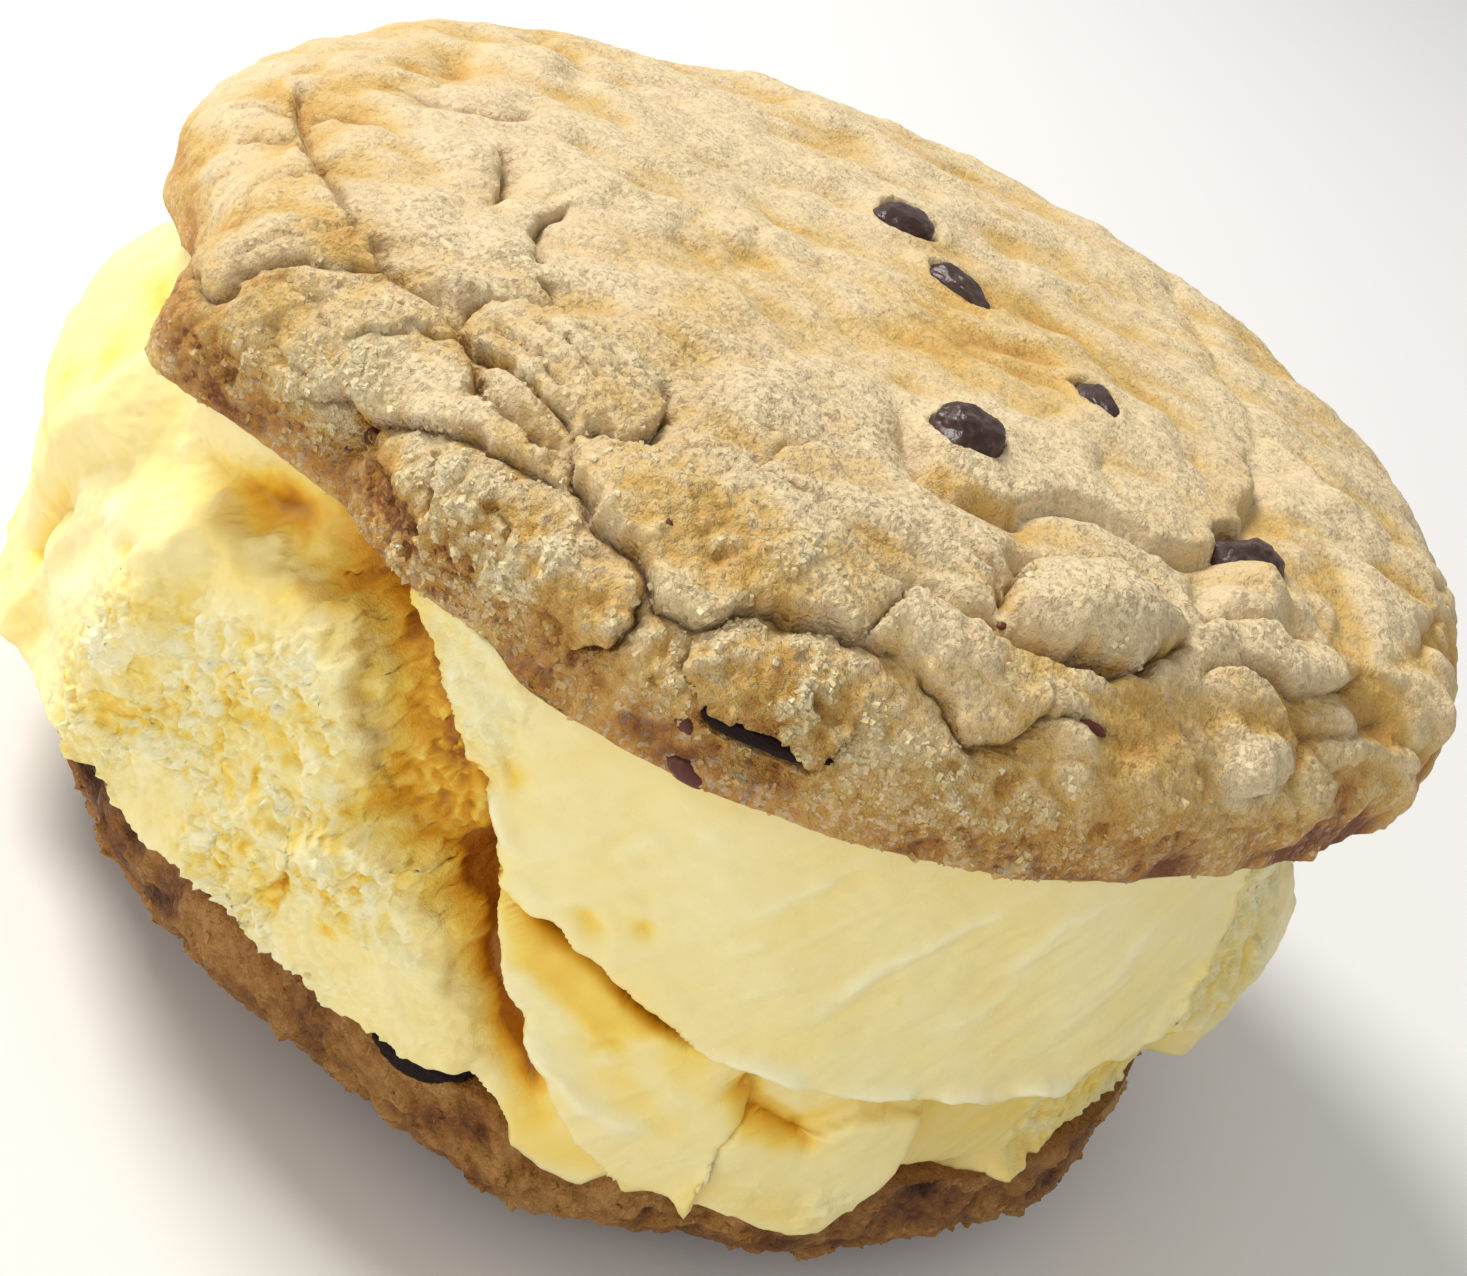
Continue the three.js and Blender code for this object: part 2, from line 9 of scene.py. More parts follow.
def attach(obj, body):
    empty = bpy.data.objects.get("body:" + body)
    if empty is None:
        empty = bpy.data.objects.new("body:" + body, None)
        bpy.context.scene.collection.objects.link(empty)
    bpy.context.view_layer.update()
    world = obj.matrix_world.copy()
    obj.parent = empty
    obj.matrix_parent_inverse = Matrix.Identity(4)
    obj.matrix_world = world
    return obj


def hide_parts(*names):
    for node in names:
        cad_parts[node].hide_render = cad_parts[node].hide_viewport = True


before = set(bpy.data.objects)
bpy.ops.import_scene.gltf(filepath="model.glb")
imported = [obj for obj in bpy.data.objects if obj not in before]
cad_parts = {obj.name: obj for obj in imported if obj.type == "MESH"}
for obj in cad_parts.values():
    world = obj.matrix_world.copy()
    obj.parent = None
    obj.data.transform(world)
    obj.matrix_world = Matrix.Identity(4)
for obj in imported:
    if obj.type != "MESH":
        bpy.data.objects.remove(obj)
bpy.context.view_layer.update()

# An ice cream sandwich: two thick chocolate chip cookies around a slab of scooped ice cream.
# Shapes are worked out in millimetres, front towards -Y, and turned into metres as they are built.
mm = 0.001
scene = bpy.context.scene
scene.view_settings.view_transform = "Standard"


# Small maths on whole arrays of numbers.

def smooth(value):
    part = np.clip(value, 0, 1)
    return part * part * (3 - 2 * part)


def ease(value, start, reach):
    # eases from 0 at the start to 1 after the reach; a reach below 0 runs downwards
    return smooth((value - start) / reach)


def bell(distance, spread):
    return np.exp(-(distance / spread) ** 2)


def mix(first, second, share):
    return first + (second - first) * share


def vectors(x, y, z):
    return np.stack([x, y, z], axis=1)


def turnBetween(degrees, start):
    return (degrees - start + 540) % 360 - 180


def wobble(x, y, scale):
    # a gentle unevenness made of a few crossed waves, about -1 to 1
    a, b = x / scale, y / scale
    return (0.5 * np.sin(1.3 * a + 0.7 * b + 0.4) + 0.3 * np.sin(2.1 * b - 1.1 * a + 1.9)
            + 0.2 * np.sin(3.2 * a + 2.6 * b + 2.7))


axisFactors = (2376512323, 3625334849, 3407524639)                # odd numbers that scramble well
stirs = ((15, 739982445), (12, 695872825), (15, 1))
seedFactor, seedStart = 2654435769, 97


def lattice(cell, seed):
    # a random number from 0 to 1 for every whole-number cell
    mixed = np.full(len(cell), (seed * seedFactor + seedStart) % 2**32, np.uint32)
    for axis, factor in enumerate(axisFactors):
        mixed ^= cell[:, axis].astype(np.uint32) * np.uint32(factor)
    for shift, factor in stirs:
        mixed ^= mixed >> np.uint32(shift)
        mixed *= np.uint32(factor)
    return mixed / 2.0**32


def noise(points, scale, seed):
    # smooth random waves from -1 to 1
    at = points / scale
    cell = np.floor(at).astype(np.int64)
    part = at - cell
    part = part**3 * (part * (part * 6 - 15) + 10)
    total = np.zeros(len(points))
    for corner in np.ndindex(2, 2, 2):
        weight = np.prod(np.where(corner, part, 1 - part), axis=1)
        total += weight * lattice(cell + corner, seed)
    return 2 * total - 1


octaveTurn = np.array([[0.36, 0.48, -0.8], [-0.8, 0.6, 0], [0.48, 0.64, 0.6]])
octaveShift = 31.7


def fractal(points, scale, octaves, seed, gain=0.5):
    # noise with finer and weaker noise on top, each layer turned against the last
    total = np.zeros(len(points))
    for octave in range(octaves):
        total += gain**octave * noise(points, scale / 2**octave, seed + octave)
        points = points @ octaveTurn + octaveShift
    return total


def ridges(points, scale, seed, power):
    # narrow winding crests of height 1
    return (1 - np.abs(noise(points, scale, seed))) ** power


def cells(points, scale, seed):
    # distances to the nearest and next nearest of scattered seeds, in cells, and the nearest one's
    # own random number
    at = points / scale
    cell = np.floor(at).astype(np.int64)
    nearest = np.full(len(at), 9.0)
    second = nearest.copy()
    own = np.zeros(len(at))
    for step in np.ndindex(3, 3, 3):
        home = cell + step - 1
        spot = home + np.stack([lattice(home, seed + axis) for axis in range(3)], axis=1)
        distance = np.sqrt(((at - spot) ** 2).sum(axis=1))
        closer = distance < nearest
        second = np.where(closer, nearest, np.minimum(second, distance))
        own = np.where(closer, lattice(home, seed + 3), own)
        nearest = np.minimum(nearest, distance)
    return nearest, second, own


def grains(points, scale, seed):
    # rounded grains side by side, 0 in the gaps and 1 on the tops
    nearest, second, own = cells(points, scale, seed)
    return smooth((second - nearest) * 1.6) * (0.55 + 0.45 * own)


def peaks(points, scale, seed):
    # separate pointed grains of many heights
    nearest, _, own = cells(points, scale, seed)
    return np.maximum(0, 1 - nearest) ** 2 * own


def pits(points, scale, reach, soft, seed):
    # scattered round pits, 1 at their bottoms
    return smooth((reach - cells(points, scale, seed)[0]) / soft)


def pathPlace(x, y, path):
    # distance to a path, positive to the left of the way it runs, the share of it passed, and the
    # direction straight away from it
    path = np.array(path, float)
    lengths = np.hypot(*np.diff(path, axis=0).T)
    passed = np.concatenate([[0], np.cumsum(lengths)])
    best = np.full(len(x), np.inf)
    side = np.ones(len(x))
    share = np.zeros(len(x))
    offset = np.zeros((2, len(x)))
    for (x0, y0), (x1, y1), start, length in zip(path, path[1:], passed, lengths):
        dx, dy = x1 - x0, y1 - y0
        part = np.clip(((x - x0) * dx + (y - y0) * dy) / (dx * dx + dy * dy), 0, 1)
        away = np.stack([x - x0 - part * dx, y - y0 - part * dy])
        distance = np.hypot(*away)
        closer = distance < best
        best = np.where(closer, distance, best)
        offset = np.where(closer, away, offset)
        side = np.where(closer, np.where(dx * (y - y0) - dy * (x - x0) >= 0, 1, -1), side)
        share = np.where(closer, (start + part * length) / passed[-1], share)
    return side * best, share, offset / np.maximum(best, 1e-6)


def nearPath(x, y, path, reach):
    # which points lie in the box round a path
    low, high = np.min(path, axis=0) - reach, np.max(path, axis=0) + reach
    return np.flatnonzero((x > low[0]) & (x < high[0]) & (y > low[1]) & (y < high[1]))


def outlinePlace(x, y, outline):
    # distance to a closed outline, positive inside it, and the direction straight away from it
    corners = [*outline, outline[0]]
    inside = np.zeros(len(x), bool)
    for (x0, y0), (x1, y1) in zip(corners, corners[1:]):
        if y0 != y1:
            crossing = (x1 - x0) * (y - y0) / (y1 - y0) + x0
            inside ^= ((y0 > y) != (y1 > y)) & (x < crossing)
    away, _, direction = pathPlace(x, y, corners)
    return np.where(inside, np.abs(away), -np.abs(away)), direction


def turnedAxes(x, y, at, turn):
    # places as seen from a spot, along and across a direction given in degrees
    cos, sin = math.cos(math.radians(turn)), math.sin(math.radians(turn))
    return (x - at[0]) * cos + (y - at[1]) * sin, (y - at[1]) * cos - (x - at[0]) * sin


def hump(x, y, at, halfLength, halfWidth, turn):
    # a smooth oval swelling of height 1
    along, across = turnedAxes(x, y, at, turn)
    return bell(along, halfLength) * bell(across, halfWidth)


def humps(x, y, ovals):
    # the sum of such swellings, each with its height after its place
    total = np.zeros(len(x))
    for at, height, *oval in ovals:
        total += height * hump(x, y, at, *oval)
    return total


# Meshes.

class RingMesh:
    # rings of points, each joined to the one before; seen from the start they turn anticlockwise
    def __init__(self):
        self.parts = []
        self.faces = []
        self.count = 0
        self.last = None

    def addRing(self, points):
        ring = (self.count, len(points))
        self.parts.append(points)
        self.count += len(points)
        if self.last:
            self.join(self.last, ring)
        self.last = ring

    def join(self, first, second):
        (startA, countA), (startB, countB) = first, second
        stepsA, stepsB = [count if count > 1 else 0 for count in (countA, countB)]
        when = np.concatenate([(np.arange(stepsA) + 0.49) / max(1, stepsA),
                               (np.arange(stepsB) + 0.5) / max(1, stepsB)])
        onSecond = np.arange(stepsA + stepsB) >= stepsA
        onSecond = onSecond[np.argsort(when, kind="stable")]
        i = np.cumsum(~onSecond) - ~onSecond
        j = np.cumsum(onSecond) - onSecond
        following = np.where(onSecond, startB + (j + 1) % countB, startA + (i + 1) % countA)
        self.faces.append(vectors(startA + i % countA, startB + j % countB, following))

    def arrays(self):
        return np.concatenate(self.parts), np.concatenate(self.faces)


def plainMesh(name, points, triangles, attributes=None, uv=None):
    mesh = bpy.data.meshes.new(name)
    mesh.vertices.add(len(points))
    mesh.vertices.foreach_set("co", (points * mm).astype(np.float32).ravel())
    mesh.loops.add(triangles.size)
    mesh.loops.foreach_set("vertex_index", triangles.astype(np.int32).ravel())
    mesh.polygons.add(len(triangles))
    mesh.polygons.foreach_set("loop_start", np.arange(0, triangles.size, 3, dtype=np.int32))
    mesh.update(calc_edges=True)
    mesh.validate()
    mesh.shade_smooth()
    for key, values in (attributes or {}).items():
        layer = mesh.attributes.new(key, "FLOAT", "POINT")
        layer.data.foreach_set("value", np.clip(values, 0, 1).astype(np.float32))
    if uv is not None:
        corners = np.zeros(len(mesh.loops), np.int32)
        mesh.loops.foreach_get("vertex_index", corners)
        layer = mesh.uv_layers.new(name="UVMap")
        layer.data.foreach_set("uv", uv[corners].astype(np.float32).ravel())
    return mesh


def addPiece(name, mesh, material, slot, *nodes):
    # material is None for a mesh that brings its own
    piece = bpy.data.objects.new(name, mesh)
    scene.collection.objects.link(piece)
    if material:
        mesh.materials.clear()
        mesh.materials.append(material)
    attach(piece, "root")
    if nodes:
        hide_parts(*nodes)
    print(f"{name}: {len(mesh.polygons)} faces")
    return piece


# Node trees. A Wire is a socket whose arithmetic adds Math nodes to its tree.

class Wire:
    def __init__(self, graph, socket):
        self.graph = graph
        self.socket = socket

    def maths(self, operation, *values):
        return self.graph.add("ShaderNodeMath", {"operation": operation}, dict(enumerate(values)))

    def __add__(self, other):
        return self.maths("ADD", self, other)

    def __sub__(self, other):
        return self.maths("SUBTRACT", self, other)

    def __rsub__(self, other):
        return self.maths("SUBTRACT", other, self)

    def __mul__(self, other):
        return self.maths("MULTIPLY", self, other)

    def __truediv__(self, other):
        return self.maths("DIVIDE", self, other)

    __radd__ = __add__
    __rmul__ = __mul__

    def clamped(self):
        return self.maths("MINIMUM", self.maths("MAXIMUM", self, 0.0), 1.0)

    def ramp(self, low, high):
        # 0 below the low value, 1 above the high one
        return ((self - low) / (high - low)).clamped()


class Graph:
    def __init__(self, tree):
        self.tree = tree

    def add(self, kind, settings=None, sockets=None, output=0):
        node = self.tree.nodes.new(kind)
        for name, value in (settings or {}).items():
            if name == "stops":
                self.setStops(node.color_ramp, value)
            else:
                setattr(node, name, value)
        for key, value in (sockets or {}).items():
            if isinstance(value, Wire):
                self.tree.links.new(value.socket, node.inputs[key])
            else:
                node.inputs[key].default_value = value
        return Wire(self, node.outputs[output] if node.outputs else None)

    def setStops(self, ramp, stops):
        while len(ramp.elements) < len(stops):
            ramp.elements.new(0.5)
        for element, (place, colour) in zip(ramp.elements, stops):
            element.position = place
            element.color = (*colour, 1)

    def attribute(self, name):
        return self.add("ShaderNodeAttribute", {"attribute_name": name}, output=2)

    def objectPlace(self):
        return self.add("ShaderNodeTexCoord", output=3)

    def noise(self, place, scale, detail, roughness=0.5):
        return self.add("ShaderNodeTexNoise", sockets={
            "Vector": place, "Scale": scale, "Detail": detail, "Roughness": roughness})

    def vector(self, operation, *values, output=0):
        return self.add("ShaderNodeVectorMath", {"operation": operation}, dict(enumerate(values)), output)

    def scaled(self, vector, by):
        return self.add("ShaderNodeVectorMath", {"operation": "SCALE"}, {0: vector, 3: by})

    def mixColour(self, share, first, second):
        colours = [value if isinstance(value, Wire) else (*value, 1) for value in (first, second)]
        return self.add("ShaderNodeMix", {"data_type": "RGBA"},
                        {0: share, 6: colours[0], 7: colours[1]}, output=2)

    def bump(self, height, distance, strength=1.0, normal=None):
        sockets = {"Height": height, "Distance": distance, "Strength": strength}
        if normal:
            sockets["Normal"] = normal
        return self.add("ShaderNodeBump", sockets=sockets)

    def moved(self, geometry, offset):
        return self.add("GeometryNodeSetPosition", sockets={"Geometry": geometry, "Offset": offset})

    def random(self, kind, low, high, seed):
        first, output = (2, 1) if kind == "FLOAT" else (0, 0)
        sockets = {first: low, first + 1: high, "Seed": seed}
        return self.add("FunctionNodeRandomValue", {"data_type": kind}, sockets, output)


def newMaterial(name):
    material = bpy.data.materials.new(name)
    material.use_nodes = True
    material.node_tree.nodes.clear()
    return material, Graph(material.node_tree)


def finishMaterial(graph, sockets):
    shader = graph.add("ShaderNodeBsdfPrincipled", sockets=sockets)
    graph.add("ShaderNodeOutputMaterial", sockets={"Surface": shader})


# Cookie dough: pale where the crust is soft, golden and then brown where it baked hardest, and darker
# where painted shade falls in its hollows and cracks.

doughLook = {
    "pale": (0.76, 0.60, 0.36), "golden": (0.67, 0.43, 0.120), "brown": (0.52, 0.245, 0.047),
    # the crack colour is painted shade, mixed into cracks, pits and the hollows round chips
    "dark": (0.20, 0.062, 0.012), "crack": (0.27, 0.125, 0.032), "sugar": (0.90, 0.80, 0.52),
    "bakedAt": (0.08, 0.42, 0.74, 1.0),             # how baked each of the first four colours is
    "patchiness": 0.34, "mottling": 0.16, "crumbMottling": 0.2, "litTopsShadedPits": 0.6, "crackShade": 0.7,
    "grainSize": 0.30, "grainDepth": 0.40, "grainVariety": 0.40,                 # the first two in mm
    "patchScale": 150, "mottleScale": 620, "poreScale": 1500,                    # waves per metre
    "roughness": 0.72, "sugarGloss": 0.42,
}


def doughMaterial(name, look):
    material, graph = newMaterial(name)
    place = graph.objectPlace()
    bake, crumb, high, cavity = [graph.attribute(key) for key in ("bake", "crumb", "high", "cavity")]
    grainSize = look["grainSize"] * mm
    patches = graph.noise(place, look["patchScale"], 4, 0.55)
    mottle = graph.noise(place, look["mottleScale"], 4, 0.65)
    grain = graph.noise(place, 0.75 / grainSize, 3, 0.65)
    pores = graph.noise(place, look["poreScale"], 4, 0.7)
    # sugar grains: each cell is a little facet with a tilt and a random number of its own
    size = {"Vector": place, "Scale": 1 / grainSize}
    ownTilt = graph.add("ShaderNodeTexVoronoi", sockets=size, output=1)
    middle = graph.add("ShaderNodeTexVoronoi", sockets=size, output=2)
    offset = graph.vector("SUBTRACT", place, middle)
    tilt = graph.vector("SUBTRACT", ownTilt, (0.5, 0.5, 0.5))
    facet = graph.vector("DOT_PRODUCT", offset, tilt, output=1) / grainSize
    own = graph.add("ShaderNodeSeparateXYZ", sockets={0: ownTilt})
    rough = 0.25 + crumb * 0.75
    level = bake + (patches - 0.5) * look["patchiness"]
    level = level + (mottle - 0.5) * (look["mottling"] + look["crumbMottling"] * rough)
    # painted light and shade: the tops of the relief paler, its pits browner
    level = level - (high - 0.5) * look["litTopsShadedPits"] * rough + (own - 0.5) * look["grainVariety"] * rough
    stops = [(at, look[key]) for at, key in zip(look["bakedAt"], ("pale", "golden", "brown", "dark"))]
    colour = graph.add("ShaderNodeValToRGB", {"stops": stops}, {0: level})
    # random grains on the tops take the sugar colour: partly the sugar's own paleness, partly a painted
    # sparkle
    sugarAndSparkle = own.ramp(0.5, 0.95) * high.ramp(0.2, 0.55) * rough * 0.75
    colour = graph.mixColour(sugarAndSparkle, colour, look["sugar"])
    # painted shade: cracks, pits and the hollows round chips take the crack colour
    colour = graph.mixColour(cavity.clamped() * look["crackShade"], colour, look["crack"])
    coarse = graph.bump(mottle + pores * 0.5, 0.5 * mm, 0.6)
    normal = graph.bump(facet * rough * 1.2 + grain * (0.3 + crumb), look["grainDepth"] * mm, 1.0, coarse)
    finishMaterial(graph, {
        "Base Color": colour, "Normal": normal,
        "Roughness": look["roughness"] - own.ramp(0.82, 0.9) * rough * look["sugarGloss"] - mottle * 0.1,
        "Specular IOR Level": 0.4, "Subsurface Weight": 0.15,
        "Subsurface Radius": (1.0, 0.55, 0.25), "Subsurface Scale": 0.8 * mm,
    })
    return material


# The domed shape that both cookies share.

domeSteps = 2001                                 # points on the curve of the dome
spacingStart, spacingReach = 8, 26               # where the rings begin to close up, and over how far
flatFace = (0.985, 0.96, 0.9, 0.78, 0.55, 0.3, 0)          # its rings as shares of the radius


def domeCurve(cookie):
    # from the middle outwards: distance along the dome, share of the radius, height
    share = 1 - (1 - np.linspace(0, 1, domeSteps)) ** 2
    rise = np.sqrt(np.maximum(0, 1 - share ** cookie["roundness"]))
    full = cookie["thickness"] + cookie["flatSpotDepth"] - cookie["edgeHeight"]
    height = cookie["edgeHeight"] + full * rise
    length = np.hypot(np.diff(share) * cookie["radius"], np.diff(height))
    return np.concatenate([[0], np.cumsum(length)]), share, height


def edgeRadius(cookie, angle):
    degrees = np.degrees(angle)
    radius = np.full(np.shape(angle), float(cookie["radius"]))
    for at, amount, spread in cookie["lobes"]:
        radius += amount * bell(turnBetween(degrees, at), spread)
    return radius


def cookieSurface(cookie, angle, along):
    # points on the bare cookie, domed side up on its flat face, and their outward directions
    curve, share, height = domeCurve(cookie)
    length = curve[-1]
    middle = (curve[1:] + curve[:-1]) / 2
    onDome = along < length
    fall = np.interp(along, middle, -np.diff(height) / np.diff(curve))
    out = np.where(onDome, fall, 1.0)
    up = np.sqrt(np.maximum(0, 1 - out**2))
    radius = edgeRadius(cookie, angle) * np.interp(along, curve, share)
    level = np.interp(along, curve, height) - np.maximum(0, along - length)
    cos, sin = np.cos(angle), np.sin(angle)
    x, y = cookie["centre"]
    points = vectors(x + radius * cos, y + radius * sin, level)
    return points, vectors(out * cos, out * sin, up)


def cookieRings(cookie):
    # the rings of a fine mesh, as (distance along the dome, number of points)
    length = domeCurve(cookie)[0][-1]
    along = 0
    rings = [(0, 1)]
    while along < length - cookie["rimSpacing"]:
        closing = ease(along, spacingStart, spacingReach)
        along += mix(cookie["middleSpacing"], cookie["rimSpacing"], closing)
        rings.append((along, max(6, round(2 * math.pi * along / cookie["aroundSpacing"]))))
    around = rings[-1][1]
    drops = round(cookie["edgeHeight"] / cookie["rimSpacing"])
    rings += [(length + cookie["edgeHeight"] * drop / drops, around) for drop in range(drops)]
    return rings, around


def warpedTurn(cookie, count):
    # angles round the cookie, closer together towards its dense side
    turn = 2 * math.pi * np.arange(count) / count
    return turn - cookie["warp"] * np.sin(turn - math.radians(cookie["denseAt"]))


def cookieArrays(cookie, relief):
    rings, around = cookieRings(cookie)
    angle = np.concatenate([warpedTurn(cookie, count) for _, count in rings])
    along = np.concatenate([np.full(count, float(at)) for at, count in rings])
    points, looks = relief(angle, along, *cookieSurface(cookie, angle, along))
    mesh = RingMesh()
    for ring in np.split(points, np.cumsum([count for _, count in rings])[:-1]):
        mesh.addRing(ring)
    for share in flatFace:
        turn = warpedTurn(cookie, max(1, round(around * share**2)))
        radius = edgeRadius(cookie, turn) * share
        x, y = cookie["centre"]
        flat = vectors(x + radius * np.cos(turn), y + radius * np.sin(turn), 0 * turn)
        flat[:, 2] = 0.12 * fractal(flat, 2.5, 3, 40) * (share > 0) - 0.06
        mesh.addRing(flat)
    under = mesh.count - len(points)
    looks = {key: np.concatenate([value, np.full(under, value[-around:].mean())])
             for key, value in looks.items()}
    return *mesh.arrays(), looks


def buildCookie(name, cookie, relief, material, slot, node):
    points, faces, looks = cookieArrays(cookie, relief)
    if cookie["turnedOver"]:
        points[:, 2] = cookie["thickness"] - np.minimum(points[:, 2], cookie["thickness"])
        faces = faces[:, ::-1]
    points[:, 2] += cookie["base"]
    return addPiece(name, plainMesh(name, points, faces, looks), material, slot, node)


# The upper cookie.

topCookie = {
    "radius": 45, "thickness": 13, "edgeHeight": 2.6, "roundness": 4.4, "flatSpotDepth": 0,
    "centre": (1.05, -4.2), "base": 43.1, "turnedOver": False,
    # where the rim bulges or draws in: degrees, how far, over how many degrees
    "lobes": [(48, 1.4, 45), (126, -3.1, 16), (168, 0.8, 22), (208, -2.9, 10), (220, 2.4, 6),
              (239, -3.5, 12), (254, -1.6, 5), (286, -0.4, 43), (319, -1.9, 22)],
    "middleSpacing": 0.42, "rimSpacing": 0.27, "aroundSpacing": 0.33, "warp": 0.45, "denseAt": 252,
    "settled": 0.25, "farSettled": 0.45,     # how much lower the crust lies, in all and at the back
    "notch": (263.4, 1.6),                   # degrees and depth of the step in the rim
    # relief of the skin, then of the crumb
    "mounds": 0.38, "creases": 0.26, "rightFolds": 0.9,
    "lumps": 0.46, "grains": 0.26, "holes": 0.7, "crystals": 0.40, "dust": 0.16,
    # how baked it is: everywhere, towards the rim, near it, on its last edge and in front
    "baked": 0.06, "outerBaked": 0.14, "rimBaked": 0.10, "edgeBaked": 0.38, "frontBaked": 0.06,
    "crumbPaler": 0.15,
}
